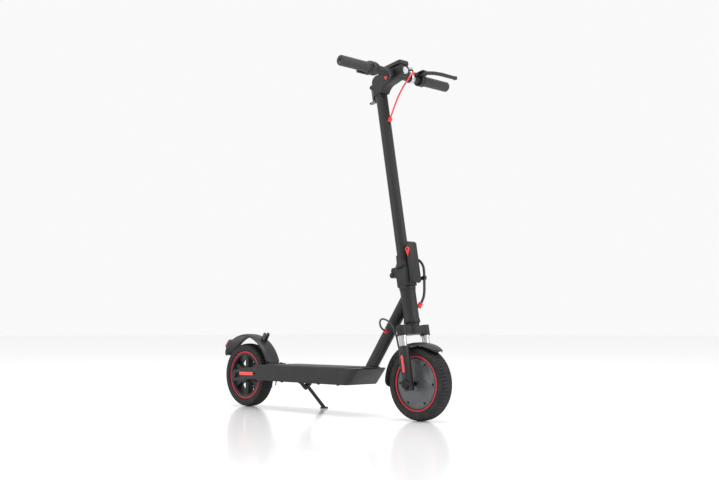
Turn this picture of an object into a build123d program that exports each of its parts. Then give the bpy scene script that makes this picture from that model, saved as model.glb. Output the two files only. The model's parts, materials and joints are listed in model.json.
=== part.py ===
from build123d import *
from math import acos, cos, degrees, pi, radians, sin, sqrt, tan
import os

os.makedirs("parts", exist_ok=True)

# Electric kick scooter, in millimetres. X points forward, Y to the rider's left and Z up.
# The wheels and the kickstand stand on Z = 0, and X = 0 is halfway along the whole scooter.

# Overall sizes
wheelbase = 795.0
tyre_radius = 108.0
tyre_width = 50.0
tread_flat = 20.0
tail_reach = 122.0
rake = 10.0
bar_width = 472.0

# Fits and clearances
running_fit = 0.05
skin_gap = 0.3
moving_gap = 0.6

# Deck
deck_width = 150.0
deck_height = 49.0
deck_top = 147.0
deck_wall = 6.0
deck_roof = 4.0
nose_setback = 197.0
nose_undercut = 40.0
nose_corner = 20.0
deck_tyre_gap = 15.0
mat_thickness = 1.8
mat_margin = 7.0
groove_count = 9
groove_width = 2.0
groove_depth = 0.7
cover_thickness = 2.5
cover_margin = 5.0
battery_length = 330.0
battery_width = 118.0
battery_height = 38.0
screw_head_radius = 4.5
screw_head_height = 2.2
cover_screw_pitch = 88.0

# Frame tubes
down_tube_radius = 18.5
down_tube_wall = 2.5
down_tube_foot_setback = 202.0
down_tube_head_height = 365.0
foot_flange_height = 5.0
head_tube_radius = 23.0
head_tube_bore = 19.0
head_tube_start = 182.0
head_tube_length = 103.0
cup_flange = 3.7
cup_depth = 10.0

# Fork, measured up the steering line from the front axle
steerer_radius = 15.0
leg_spacing = 100.0
leg_radius = 14.5
leg_top = 111.0
leg_bottom = -18.0
leg_seat = 62.0
stanchion_radius = 11.0
stanchion_bottom = 58.0
leg_bore_bottom = 34.0
fork_travel = 20.0
crown_bottom = 141.0
crown_top = 172.0
crown_depth = 30.0
bellows_ribs = 5
front_axle_radius = 6.0
cap_radius = 14.0
cap_height = 7.0
reflector_length = 50.0
reflector_thickness = 1.6
reflector_bottom = 34.0
reflector_reach = 0.85
cable_boot_top = 13.0

# Wheels
rim_radius = 82.0
rim_half_width = 20.0
rim_depth = 5.0
rim_flange = 3.2
rim_ring = 14.0
tyre_wall = 4.0
hub_cover_radius = 73.0
hub_cover_thickness = 4.0
hub_half_width = 18.0
hub_boss_radius = 22.0
hub_boss_height = 3.0
hub_screws = 6
stator_radius = 60.0
stator_half_width = 10.0
spoke_count = 6
spoke_width = 15.0
spoke_thickness = 22.0
rear_hub_radius = 24.0
rear_hub_half_width = 25.0
rear_axle_radius = 5.0
disc_radius = 55.0
disc_thickness = 2.0
disc_left = 36.0
disc_holes = 12

# Fenders
front_fender_inner = 117.0
front_fender_start = 50.0
front_fender_end = 187.0
rear_fender_inner = 138.0
rear_fender_start = 17.5
rear_fender_end = 152.0
fender_thickness = 3.0
fender_half_width = 31.0
fender_skirt = 9.0
fender_foot_length = 36.0
latch_angle = 57.0
latch_radius = 166.0
latch_pin_radius = 2.5
tail_light_angle = 136.0

# Rear arms and brake
arm_inner = 52.0
arm_thickness = 10.0
arm_height = 40.0
arm_end_radius = 19.0
arm_foot_thickness = 6.0
arm_foot_inner = 36.0
caliper_reach = 50.0
caliper_angle = -28.0
caliper_slot = 5.0

# Kickstand, on the rider's left
stand_setback = 562.0
stand_left = 60.0
stand_height = 78.0
stand_radius = 6.0
stand_foot_forward = 22.0
stand_foot_out = 58.0
stand_foot_radius = 13.0
stand_foot_height = 5.0
stand_pin_radius = 4.0

# Folding joint
block_top = 345.0
block_half_length = 26.0
block_half_width = 22.0
fold_back = 38.0
fold_up = 330.0
fold_pin_radius = 4.0
knuckle_radius = 8.5
knuckle_half_width = 11.7
lug_thickness = 8.0
lever_forward = 35.0
lever_up = 300.0
lever_top = 418.0
lever_half_width = 17.0
lever_ear_radius = 4.9
catch_radius = 7.5
catch_length = 22.0
catch_thickness = 3.5
catch_pin_radius = 2.5

# Stem, neck and handlebar
stem_radius = 18.0
stem_wall = 2.2
stem_foot_top = 385.0
stem_start = 358.0
neck_start = 894.0
neck_half_width = 19.0
grommet_forward = 48.0
grommet_up = 932.0
grommet_radius = 6.5
grommet_height = 3.5
bar_forward = 70.0
bar_up = 938.0
bar_radius = 12.7
bar_wall = 2.2
clamp_width = 16.0
blade_height = 8.0
lever_reach = 129.5
lever_tip_radius = 7.0
grip_length = 118.0
grip_radius = 16.0
grip_flange_radius = 19.5
paddle_angle = 180.0
paddle_width = 9.0
console_back = 34.0
console_front = 112.0
console_base = 956.0
console_height = 13.0
light_radius = 11.0
button_radius = 5.0
button_travel = 1.0
hook_arm = 50.0
hook_throat_out = 10.0
hook_open = 140.0
hook_radius = 4.5
hook_width = 10.0

# Cords
brake_cable_diameter = 5.0
throttle_cable_diameter = 4.0
motor_cable_diameter = 5.5
harness_diameter = 8.0

# Derived places
front_axle_x = (wheelbase + tail_reach - tyre_radius) / 2
rear_axle_x = front_axle_x - wheelbase
axle_height = tyre_radius
front_axle_point = Vector(front_axle_x, 0, axle_height)
rear_axle_point = Vector(rear_axle_x, 0, axle_height)
deck_bottom = deck_top - deck_height
nose_x = front_axle_x - nose_setback
deck_rear_x = rear_axle_x + tyre_radius + deck_tyre_gap
leg_left = leg_spacing / 2
steer = Plane(
    origin=front_axle_point,
    x_dir=(cos(radians(rake)), 0, sin(radians(rake))),
    z_dir=(-sin(radians(rake)), 0, cos(radians(rake))),
)


def fork_point(forward, left, up):
    """A point given forward of, left of and up the steering line."""
    return steer.from_local_coords(Vector(forward, left, up))


def fork_plane(up=0, forward=0, left=0):
    """A plane square to the steering line."""
    return Plane(origin=fork_point(forward, left, up), x_dir=steer.x_dir, z_dir=steer.z_dir)


def fork_side(left=0):
    """A side view of the fork: x forward, y up the steering line, normal to the right."""
    return Plane(origin=fork_point(0, left, 0), x_dir=steer.x_dir, z_dir=(0, -1, 0))


def side_plane(left=0, about=Vector(0, 0, 0)):
    """A side view about a point: x forward, y up, normal to the right."""
    return Plane(origin=(about.X, left, about.Z), x_dir=(1, 0, 0), z_dir=(0, -1, 0))


def radial_plane(axle_point, angle):
    """A section through a wheel: x to the left, y outwards along the given angle."""
    turn = radians(angle)
    return Plane(origin=axle_point, x_dir=(0, 1, 0), z_dir=(sin(turn), 0, -cos(turn)))


# Places on the bar that its controls and cords share
grip_inner = bar_width / 2 - grip_length
throttle_left = -(grip_inner - skin_gap)
clamp_right = grip_inner - skin_gap - clamp_width
perch_up = bar_up + 12
pivot_forward = bar_forward + 28
pivot_left = clamp_right - 3

# Cord routes: forward of, left of and up the steering line, each from one end to the other
brake_cable_route = [
    (pivot_forward - 15, pivot_left - 22, perch_up),
    (pivot_forward - 10, 59, 952),
    (94, 44, 937),
    (85, 30, 917),
    (69, 19, 893),
    (54, 11, 868),
    (43, 5, 845),
    (31, 1, 823),
    (20.5, 0, 806.5),
]
throttle_cable_route = [
    (96, -98, 936),
    (108, -88, 929),
    (106, -69, 920),
    (91, -50, 914),
    (72, -36, 917),
    (56, -26, 925),
    (grommet_forward, -neck_half_width - 1.8, grommet_up),
]
motor_upper_route = [
    (-92, -20.4, 171),
    (-94, -34, 177),
    (-88, -47, 193),
    (-73, -55, 204),
    (-55, -57, 201),
    (-40, -54, 189),
    (-31, -51, 174),
    (-28, -50, 160),
]
motor_lower_route = [
    (-27.9, -49.97, 159.6),
    (-24.1, -48.7, 142),
    (-21.5, -50, 122),
    (-19.5, -48.5, 99),
    (-20, -50, 76),
    (-21, -51.5, 54),
    (-19, -50, 33),
    (-19.3, -49.8, 13.2),
]
harness_upper_route = [
    (17, 20, 371),
    (29, 32, 368),
    (37, 40, 352),
    (37, 44, 332),
    (34, 43, 310),
]
harness_lower_route = [
    (33.95, 42.98, 309.6),
    (31, 42, 288),
    (29, 40.5, 268),
    (26, 35, 247),
    (19, 25.5, 231),
]
# The rear cable is given in the scooter's own frame, the others along the steering line.
rear_cable_route = [
    (deck_rear_x - 1.2, 32, 118),
    (deck_rear_x - 13, 33, 114),
    (deck_rear_x - 22, 37, 103),
    (deck_rear_x - 28, 42, 88),
    (deck_rear_x - 38, 47, 74),
]


def end_plane(route, offset=0):
    """A plane square to a fork route's last run, a given way past its end."""
    last = fork_point(*route[-1])
    return Plane(origin=last, z_dir=last - fork_point(*route[-2])).offset(offset)


def finish(piece, label):
    piece.part.label = label
    export_step(piece.part, f"parts/{label}.step")


def cord_radii(points):
    """Largest soft bend at each inner point: 0.45 of the shorter run over tan(half the turn)."""
    route = [Vector(*point) for point in points]
    radii = []
    for before, here, after in zip(route, route[1:], route[2:]):
        turn = radians((here - before).get_angle(after - here))
        radii.append(0.45 * min((here - before).length, (after - here).length) / tan(turn / 2))
    return radii


def make_cord(points, diameter, label):
    radii = cord_radii(points)
    with BuildPart() as cord:
        with BuildLine() as route:
            FilletPolyline(*points, radius=radii)
        with BuildSketch(Plane(origin=route.line @ 0, z_dir=route.line % 0)):
            Circle(diameter / 2)
        sweep(path=route.line)
    length = sum(edge.length for edge in route.edges())
    ratio = cord.part.volume / (pi * diameter**2 / 4 * length)
    print(f"{label}: length {length:.0f}, volume ratio {ratio:.4f}, radii",
          " ".join(f"{radius:.0f}" for radius in radii))
    finish(cord, label)


# ---- Deck ----

with BuildPart() as deck_shell:
    with BuildSketch(side_plane()):
        with BuildLine():
            Polyline(
                (deck_rear_x, deck_bottom),
                (nose_x - nose_undercut, deck_bottom),
                (nose_x, deck_top),
                (deck_rear_x, deck_top),
                close=True,
            )
        make_face()
    extrude(amount=deck_width / 2, both=True)
    corner_edges = deck_shell.edges().filter_by(
        lambda edge: abs(abs(edge.center().Y) - deck_width / 2) < 0.01
        and abs(edge.tangent_at(0.5).Z) > 0.5
    )
    fillet(corner_edges.sort_by(Axis.X)[-2:], nose_corner)
    fillet(corner_edges.sort_by(Axis.X)[:2], 4)
    fillet(deck_shell.faces().sort_by(Axis.Z)[-1].edges(), 3)
    with BuildSketch(Plane.XY.offset(deck_bottom)) as bay:
        cavity_front = nose_x - nose_undercut - 3 * deck_wall
        cavity_rear = deck_rear_x + deck_wall
        with Locations(((cavity_front + cavity_rear) / 2, 0)):
            RectangleRounded(cavity_front - cavity_rear, deck_width - 2 * deck_wall, 8)
    extrude(amount=deck_height - deck_roof, mode=Mode.SUBTRACT)
    socket_x = nose_x - 95
    socket_z = deck_bottom + deck_height / 2
    with BuildSketch(side_plane(deck_width / 2 + 1)):
        with Locations((socket_x, socket_z)):
            Circle(9 + running_fit)
    extrude(amount=deck_wall + 2, mode=Mode.SUBTRACT)
finish(deck_shell, "deck_shell")

mat_front = nose_x - 58
mat_rear = deck_rear_x + fender_foot_length + 12
mat_width = deck_width - 2 * mat_margin
with BuildPart() as deck_mat:
    with BuildSketch(Plane.XY.offset(deck_top)):
        with Locations(((mat_front + mat_rear) / 2, 0)):
            RectangleRounded(mat_front - mat_rear, mat_width, 12)
    extrude(amount=mat_thickness)
    groove_pitch = (mat_width - 24) / (groove_count - 1)
    with BuildSketch(Plane.XY.offset(deck_top + mat_thickness)):
        with Locations(((mat_front + mat_rear) / 2, 0)):
            with GridLocations(0, groove_pitch, 1, groove_count):
                SlotOverall(mat_front - mat_rear - 40, groove_width)
    extrude(amount=-groove_depth, mode=Mode.SUBTRACT)
finish(deck_mat, "deck_mat")

cover_length = nose_x - nose_undercut - deck_rear_x - 2 * cover_margin
cover_middle = (nose_x - nose_undercut + deck_rear_x) / 2
cover_screw_left = deck_width / 2 - deck_wall - 1.5
cover_screw_places = [
    (cover_middle + step * cover_screw_pitch, side * cover_screw_left)
    for step in range(-2, 3)
    for side in (-1, 1)
]
with BuildPart() as bottom_cover:
    with BuildSketch(Plane.XY.offset(deck_bottom - cover_thickness)):
        with Locations((cover_middle, 0)):
            RectangleRounded(cover_length, deck_width - 2 * cover_margin, 10)
    extrude(amount=cover_thickness)
finish(bottom_cover, "bottom_cover")

battery_bottom = deck_bottom + skin_gap
with BuildPart() as battery_pack:
    with BuildSketch(Plane.XY.offset(battery_bottom)):
        with Locations((cover_middle - 15, 0)):
            RectangleRounded(battery_length, battery_width, 8)
    extrude(amount=battery_height)
    fillet(battery_pack.edges().filter_by(Axis.X), 3)
finish(battery_pack, "battery_pack")

socket_out = deck_width / 2 + 2
socket_depth = 12.0
socket_bore = 4.0
with BuildPart() as charge_socket:
    with BuildSketch(side_plane(socket_out)):
        with Locations((socket_x, socket_z)):
            Circle(11)
    extrude(amount=2)
    with BuildSketch(side_plane(deck_width / 2)):
        with Locations((socket_x, socket_z)):
            Circle(9)
    extrude(amount=socket_depth + 2)
    with BuildSketch(side_plane(socket_out)):
        with Locations((socket_x, socket_z)):
            Circle(socket_bore)
    extrude(amount=socket_depth, mode=Mode.SUBTRACT)
finish(charge_socket, "charge_socket")

flap_hinge_z = socket_z + 15
flap_thickness = 2.6
flap_barrel_radius = 2.2
flap_hinge_left = deck_width / 2 + skin_gap + flap_barrel_radius
with BuildPart() as charge_flap:
    with BuildSketch(side_plane(socket_out + skin_gap + flap_thickness)):
        with Locations((socket_x, socket_z + 1)):
            RectangleRounded(26, 28, 9)
    extrude(amount=flap_thickness)
    with BuildSketch(Plane.YZ.offset(socket_x - 7)):
        with Locations((flap_hinge_left, flap_hinge_z)):
            Circle(flap_barrel_radius)
    extrude(amount=14)
finish(charge_flap, "charge_flap")

# ---- Down tube and head tube ----

tube_foot = Vector(front_axle_x - down_tube_foot_setback, 0, deck_top)
tube_head_up = (down_tube_head_height - axle_height) / cos(radians(rake))
tube_head = fork_point(0, 0, tube_head_up)
tube_direction = (tube_head - tube_foot).normalized()
tube_length = (tube_head - tube_foot).length
tube_plane = Plane(origin=tube_foot, x_dir=(tube_direction.Z, 0, -tube_direction.X),
                   z_dir=tube_direction)
with BuildPart() as down_tube:
    with BuildSketch(tube_plane.offset(-2 * down_tube_radius)):
        Circle(down_tube_radius)
    extrude(amount=tube_length + 2 * down_tube_radius)
    with BuildSketch(Plane.XY.offset(deck_top)):
        with Locations((tube_foot.X, 0)):
            Ellipse(down_tube_radius / tube_direction.Z + 9, down_tube_radius + 8)
    extrude(amount=foot_flange_height, taper=25)
    with BuildSketch(tube_plane.offset(-2 * down_tube_radius)):
        Circle(down_tube_radius - down_tube_wall)
    extrude(amount=tube_length + 3 * down_tube_radius, mode=Mode.SUBTRACT)
    split(bisect_by=Plane.XY.offset(deck_top), keep=Keep.TOP)
    with BuildSketch(fork_plane(head_tube_start - 40)):
        Circle(head_tube_radius)
    extrude(amount=head_tube_length + 80, mode=Mode.SUBTRACT)
    split(bisect_by=Plane(origin=tube_head, z_dir=(-1, 0, 0)), keep=Keep.TOP)
finish(down_tube, "down_tube")

head_tube_end = head_tube_start + head_tube_length
with BuildPart() as head_tube:
    with BuildSketch(fork_plane(head_tube_start)):
        Circle(head_tube_radius)
    extrude(amount=head_tube_length)
    with BuildSketch(fork_plane(head_tube_start)):
        Circle(head_tube_radius + 2)
    extrude(amount=9, taper=8)
    with BuildSketch(fork_plane(head_tube_end)):
        Circle(head_tube_radius + 2)
    extrude(amount=-9, taper=8)
    with BuildSketch(fork_plane(head_tube_start)):
        Circle(head_tube_bore)
    extrude(amount=head_tube_length, mode=Mode.SUBTRACT)
    for flange_start, spigot_end in (
        (head_tube_start - cup_flange, head_tube_start + cup_depth),
        (head_tube_end + cup_flange, head_tube_end - cup_depth),
    ):
        inward = 1 if spigot_end > flange_start else -1
        with BuildSketch(fork_plane(flange_start)):
            Circle(head_tube_radius + 1.5)
            Circle(steerer_radius + running_fit, mode=Mode.SUBTRACT)
        extrude(amount=inward * cup_flange)
        with BuildSketch(fork_plane(flange_start)):
            Circle(head_tube_bore)
            Circle(steerer_radius + running_fit, mode=Mode.SUBTRACT)
        extrude(amount=inward * (cup_flange + cup_depth))
finish(head_tube, "head_tube")

# ---- Fork, above the springs ----

with BuildPart() as fork_crown:
    with BuildSketch(fork_plane(crown_bottom + 4)):
        Circle(head_tube_radius)
        Rectangle(crown_depth - 6, leg_spacing)
        with Locations((0, leg_left), (0, -leg_left)):
            Circle(crown_depth / 2)
    extrude(amount=crown_top - crown_bottom - 8)
    with BuildSketch(fork_plane(crown_bottom)):
        with Locations((0, leg_left), (0, -leg_left)):
            Circle(crown_depth / 2)
    extrude(amount=crown_top - crown_bottom)
    with BuildSketch(fork_plane(crown_top - 6)):
        Circle(head_tube_radius - 2)
    extrude(amount=head_tube_start - cup_flange - skin_gap - crown_top + 6)
    with BuildSketch(fork_plane(crown_top - 6)):
        Circle(steerer_radius)
    extrude(amount=block_top - crown_top)
    with BuildSketch(fork_plane(crown_bottom)):
        with Locations((0, leg_left), (0, -leg_left)):
            Circle(stanchion_radius + running_fit)
    extrude(amount=crown_top - crown_bottom - 5, mode=Mode.SUBTRACT)
    with BuildSketch(fork_plane(motor_upper_route[-1][2] - 4)):
        with Locations((motor_upper_route[-1][0] + 10, motor_upper_route[-1][1])):
            Rectangle(14, 8)
    extrude(amount=8)
    with BuildSketch(end_plane(motor_upper_route, -4)):
        Circle(motor_cable_diameter / 2 + 2.5)
    extrude(amount=8)
    with BuildSketch(end_plane(motor_upper_route, -8)):
        Circle(motor_cable_diameter / 2 + skin_gap)
    extrude(amount=16, mode=Mode.SUBTRACT)
finish(fork_crown, "fork_crown")

with BuildPart() as stanchions:
    with BuildSketch(fork_plane(stanchion_bottom)):
        with Locations((0, leg_left), (0, -leg_left)):
            Circle(stanchion_radius)
    extrude(amount=crown_top - 5 - stanchion_bottom)
    with BuildSketch(fork_plane(crown_bottom - 4)):
        with Locations((0, leg_left), (0, -leg_left)):
            Circle(stanchion_radius + 3)
    extrude(amount=4)
finish(stanchions, "stanchions")

bellows_bottom = leg_top + skin_gap
bellows_top = crown_bottom - 4 - skin_gap
bellows_pitch = (bellows_top - bellows_bottom) / bellows_ribs
with BuildPart() as fork_bellows:
    for leg in (-1, 1):
        with BuildSketch(fork_side(leg * leg_left)):
            with BuildLine():
                rim_points = [(stanchion_radius + skin_gap, bellows_bottom)]
                for rib in range(bellows_ribs):
                    rib_start = bellows_bottom + rib * bellows_pitch
                    rim_points.append((stanchion_radius + 1.5, rib_start))
                    rim_points.append((stanchion_radius + 4.5, rib_start + bellows_pitch / 2))
                rim_points.append((stanchion_radius + 1.5, bellows_top))
                rim_points.append((stanchion_radius + skin_gap, bellows_top))
                Polyline(*rim_points, close=True)
            make_face()
        revolve(axis=Axis(fork_point(0, leg * leg_left, 0), steer.z_dir))
finish(fork_bellows, "fork_bellows")

hinge_point = fork_point(-fold_back, 0, fold_up)
block_start = head_tube_end + cup_flange + skin_gap
lug_half_width = knuckle_half_width + skin_gap + lug_thickness
with BuildPart() as hinge_block:
    with BuildSketch(fork_plane(block_start)):
        RectangleRounded(2 * block_half_length, 2 * block_half_width, 12)
    extrude(amount=block_top - block_start)
    with BuildSketch(fork_side(lug_half_width)):
        with Locations((-fold_back, fold_up)):
            Circle(knuckle_radius)
        with Locations((-(fold_back + block_half_length) / 2 + 2, fold_up - 1)):
            Rectangle(fold_back - block_half_length + 8, 2 * knuckle_radius - 3)
    extrude(amount=2 * lug_half_width)
    with BuildSketch(fork_side(knuckle_half_width + skin_gap)):
        with Locations((-fold_back - knuckle_radius, fold_up)):
            Rectangle(2 * (fold_back + knuckle_radius - block_half_length - 1), 60)
    extrude(amount=2 * (knuckle_half_width + skin_gap), mode=Mode.SUBTRACT)
    with BuildSketch(fork_side(lever_half_width - 4 - skin_gap)):
        with Locations((lever_forward, lever_up)):
            Circle(lever_ear_radius)
        with Locations(((lever_forward + block_half_length) / 2 - 2, lever_up)):
            Rectangle(lever_forward - block_half_length + 4, 2 * lever_ear_radius)
    extrude(amount=2 * (lever_half_width - 4 - skin_gap))
    clip_forward, clip_left, clip_up = harness_upper_route[-1]
    with BuildSketch(fork_plane(clip_up - 5)):
        with Locations((block_half_length - 5, (clip_left + block_half_width) / 2)):
            Rectangle(9, clip_left - block_half_width + 8)
        with Locations(((clip_forward + block_half_length) / 2 - 4, clip_left)):
            Rectangle(clip_forward - block_half_length + 8, 8)
    extrude(amount=10)
    with BuildSketch(end_plane(harness_upper_route, -5)):
        Circle(harness_diameter / 2 + 3)
    extrude(amount=10)
    with BuildSketch(end_plane(harness_upper_route, -10)):
        Circle(harness_diameter / 2 + skin_gap)
    extrude(amount=20, mode=Mode.SUBTRACT)
    with BuildSketch(fork_side(block_half_width + 20)):
        with Locations((lever_forward, lever_up)):
            Circle(3 + running_fit)
        with Locations((-fold_back, fold_up)):
            Circle(fold_pin_radius + running_fit)
    extrude(amount=2 * block_half_width + 40, mode=Mode.SUBTRACT)
    with BuildSketch(fork_plane(block_start)):
        Circle(steerer_radius + running_fit)
    extrude(amount=block_top - 6 - block_start, mode=Mode.SUBTRACT)
    with BuildSketch(fork_side(lug_half_width + 2.5)):
        with Locations((-fold_back, fold_up)):
            Circle(fold_pin_radius)
    extrude(amount=2 * lug_half_width + 5)
    for pin_side in (-1, 1):
        with BuildSketch(fork_side(pin_side * (lug_half_width + 1.25 + running_fit) + 1.25)):
            with Locations((-fold_back, fold_up)):
                Circle(6.5)
        extrude(amount=2.5)
finish(hinge_block, "hinge_block")

# ---- Fork, below the springs ----

with BuildPart() as fork_legs:
    with BuildSketch(fork_plane(leg_bottom)):
        with Locations((0, leg_left), (0, -leg_left)):
            Circle(leg_radius)
    extrude(amount=leg_top - leg_bottom)
    with BuildSketch(fork_plane(leg_bore_bottom)):
        with Locations((0, leg_left), (0, -leg_left)):
            Circle(stanchion_radius + running_fit)
    extrude(amount=leg_top - leg_bore_bottom, mode=Mode.SUBTRACT)
    for leg in (-1, 1):
        with BuildSketch(fork_side(leg * (leg_seat + 5) + 5)):
            Rectangle(4 * leg_radius, 2 * (cap_radius + 2))
        extrude(amount=10, mode=Mode.SUBTRACT)
    with BuildSketch(fork_plane(0)):
        with Locations((-leg_radius - 3, -leg_left)):
            RectangleRounded(13, 12, 2)
    extrude(amount=cable_boot_top)
    with BuildSketch(fork_side(leg_spacing)):
        Circle(front_axle_radius + running_fit)
    extrude(amount=2 * leg_spacing, mode=Mode.SUBTRACT)
finish(fork_legs, "fork_legs")

with BuildPart() as front_axle:
    with BuildSketch(fork_side(leg_seat)):
        Circle(front_axle_radius)
    extrude(amount=2 * leg_seat)
    with BuildSketch(fork_side(stator_half_width)):
        Circle(stator_radius)
        Circle(front_axle_radius + running_fit, mode=Mode.SUBTRACT)
    extrude(amount=2 * stator_half_width)
    for cap_side in (-1, 1):
        with BuildSketch(fork_side(cap_side * (leg_seat + running_fit))):
            Circle(cap_radius)
        extrude(amount=-cap_side * cap_height, taper=15)
finish(front_axle, "front_axle")


def fender_section(inner):
    """Outline of a fender's channel: across the wheel, then outwards from its axle."""
    crest = inner + fender_thickness
    inside = fender_half_width - fender_thickness
    half = [
        (fender_half_width, inner - fender_skirt),
        (fender_half_width, crest - 5),
        (fender_half_width - 5, crest),
    ]
    lining = [(inside, inner - fender_skirt), (inside, inner - 3), (inside - 3, inner)]
    mirrored = [(-across, out) for across, out in reversed(half)]
    mirrored_lining = [(-across, out) for across, out in lining]
    return half + mirrored + mirrored_lining + lining[::-1]


with BuildPart() as front_fender:
    with BuildSketch(radial_plane(front_axle_point, front_fender_start)):
        with BuildLine():
            Polyline(*fender_section(front_fender_inner), close=True)
        make_face()
    revolve(
        axis=Axis(front_axle_point, (0, -1, 0)),
        revolution_arc=front_fender_end - front_fender_start,
    )
    lug_reach = leg_left - leg_radius - fender_half_width
    for leg in (-1, 1):
        lug_middle = leg * (fender_half_width + lug_reach / 2)
        with BuildSketch(fork_side(lug_middle + lug_reach / 2 + 1)):
            with Locations((0, leg_top - 8)):
                RectangleRounded(16, 12, 3)
        extrude(amount=lug_reach + 2)
    with BuildSketch(fork_plane(leg_bottom)):
        with Locations((0, leg_left), (0, -leg_left)):
            Circle(leg_radius)
    extrude(amount=leg_top - leg_bottom + 20, mode=Mode.SUBTRACT)
    with BuildSketch(fork_side(fender_half_width - fender_thickness)):
        Circle(front_fender_inner - 1)
    extrude(amount=2 * (fender_half_width - fender_thickness), mode=Mode.SUBTRACT)
finish(front_fender, "front_fender")

reflector_inner = leg_radius + running_fit
with BuildPart() as fork_reflectors:
    with BuildSketch(fork_plane(reflector_bottom)):
        with Locations((0, leg_left), (0, -leg_left)):
            Circle(reflector_inner + reflector_thickness)
            Circle(reflector_inner, mode=Mode.SUBTRACT)
        Rectangle(4 * leg_radius, 2 * (leg_left + reflector_reach * leg_radius), mode=Mode.SUBTRACT)
    extrude(amount=reflector_length)
finish(fork_reflectors, "fork_reflectors")

# ---- Wheels ----

rim_well = rim_radius - rim_depth
bead_half_width = rim_half_width - rim_flange - running_fit


def make_tyre(axle_point, label):
    tread = tread_flat / 2
    half_width = tyre_width / 2
    bead = rim_well + running_fit
    shoulder = rim_radius + skin_gap
    middle = (shoulder + tyre_radius) / 2
    with BuildPart() as tyre:
        with BuildSketch(radial_plane(axle_point, 0)):
            with BuildLine():
                Line((bead_half_width, bead), (bead_half_width, shoulder))
                Line((bead_half_width, shoulder), (bead_half_width + 1.5, shoulder))
                ThreePointArc((bead_half_width + 1.5, shoulder), (half_width, middle),
                              (tread, tyre_radius))
                Line((tread, tyre_radius), (-tread, tyre_radius))
                ThreePointArc((-tread, tyre_radius), (-half_width, middle),
                              (-bead_half_width - 1.5, shoulder))
                Line((-bead_half_width - 1.5, shoulder), (-bead_half_width, shoulder))
                Line((-bead_half_width, shoulder), (-bead_half_width, bead))
                Line((-bead_half_width, bead), (-bead_half_width + tyre_wall, bead))
                Line((-bead_half_width + tyre_wall, bead),
                     (-bead_half_width + tyre_wall, shoulder + 2))
                ThreePointArc((-bead_half_width + tyre_wall, shoulder + 2),
                              (-half_width + tyre_wall, middle),
                              (-tread + 1, tyre_radius - tyre_wall))
                Line((-tread + 1, tyre_radius - tyre_wall), (tread - 1, tyre_radius - tyre_wall))
                ThreePointArc((tread - 1, tyre_radius - tyre_wall),
                              (half_width - tyre_wall, middle),
                              (bead_half_width - tyre_wall, shoulder + 2))
                Line((bead_half_width - tyre_wall, shoulder + 2),
                     (bead_half_width - tyre_wall, bead))
                Line((bead_half_width - tyre_wall, bead), (bead_half_width, bead))
            make_face()
        revolve(axis=Axis(axle_point, (0, 1, 0)))
    finish(tyre, label)


make_tyre(front_axle_point, "front_tyre")
make_tyre(rear_axle_point, "rear_tyre")

front_wheel_side = side_plane(0, front_axle_point)
cover_inner_face = hub_half_width - hub_cover_thickness
with BuildPart() as motor_shell:
    with BuildSketch(front_wheel_side):
        Circle(rim_radius)
        Circle(stator_radius + 2, mode=Mode.SUBTRACT)
    extrude(amount=rim_half_width, both=True)
    with BuildSketch(front_wheel_side):
        Circle(rim_radius + 1)
        Circle(rim_well, mode=Mode.SUBTRACT)
    extrude(amount=rim_half_width - rim_flange, both=True, mode=Mode.SUBTRACT)
    for cover_side in (-1, 1):
        with BuildSketch(front_wheel_side.offset(cover_side * cover_inner_face)):
            Circle(hub_cover_radius + running_fit)
        extrude(amount=cover_side * 20, mode=Mode.SUBTRACT)
finish(motor_shell, "motor_shell")

hub_screw_circle = PolarLocations(hub_cover_radius - 9, hub_screws)
with BuildPart() as hub_covers:
    for cover_side in (-1, 1):
        with BuildSketch(front_wheel_side.offset(cover_side * cover_inner_face)):
            Circle(hub_cover_radius)
        extrude(amount=cover_side * hub_cover_thickness)
        with BuildSketch(front_wheel_side.offset(cover_side * hub_half_width)):
            Circle(hub_boss_radius)
        extrude(amount=cover_side * hub_boss_height, taper=20)
        with BuildSketch(front_wheel_side.offset(cover_side * (hub_half_width - 1.5))):
            with hub_screw_circle:
                Circle(4)
        extrude(amount=cover_side * 2, mode=Mode.SUBTRACT)
    with BuildSketch(front_wheel_side):
        Circle(front_axle_radius + running_fit)
    extrude(amount=2 * hub_half_width, both=True, mode=Mode.SUBTRACT)
    for cover_side in (-1, 1):
        with BuildSketch(front_wheel_side.offset(cover_side * (hub_half_width - 1.5 + running_fit))):
            with hub_screw_circle:
                Circle(3.6)
                RegularPolygon(1.6, 6, mode=Mode.SUBTRACT)
        extrude(amount=cover_side * 2)
finish(hub_covers, "hub_covers")

rear_wheel_side = side_plane(0, rear_axle_point)
hub_left = disc_left - disc_thickness / 2
with BuildPart() as rear_rim:
    with BuildSketch(rear_wheel_side):
        Circle(rim_radius)
        Circle(rim_radius - rim_ring, mode=Mode.SUBTRACT)
    extrude(amount=rim_half_width, both=True)
    with BuildSketch(rear_wheel_side):
        Circle(rim_radius + 1)
        Circle(rim_well, mode=Mode.SUBTRACT)
    extrude(amount=rim_half_width - rim_flange, both=True, mode=Mode.SUBTRACT)
    with BuildSketch(rear_wheel_side):
        with PolarLocations((rear_hub_radius + rim_radius - rim_ring) / 2, spoke_count, 90):
            Rectangle(rim_radius - rim_ring - rear_hub_radius + 6, spoke_width)
    extrude(amount=spoke_thickness / 2, both=True)
    with BuildSketch(side_plane(hub_left, rear_axle_point)):
        Circle(rear_hub_radius)
    extrude(amount=hub_left + rear_hub_half_width)
    with BuildSketch(side_plane(hub_left, rear_axle_point)):
        Circle(rear_axle_radius + running_fit)
    extrude(amount=hub_left + rear_hub_half_width, mode=Mode.SUBTRACT)
finish(rear_rim, "rear_rim")

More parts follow.
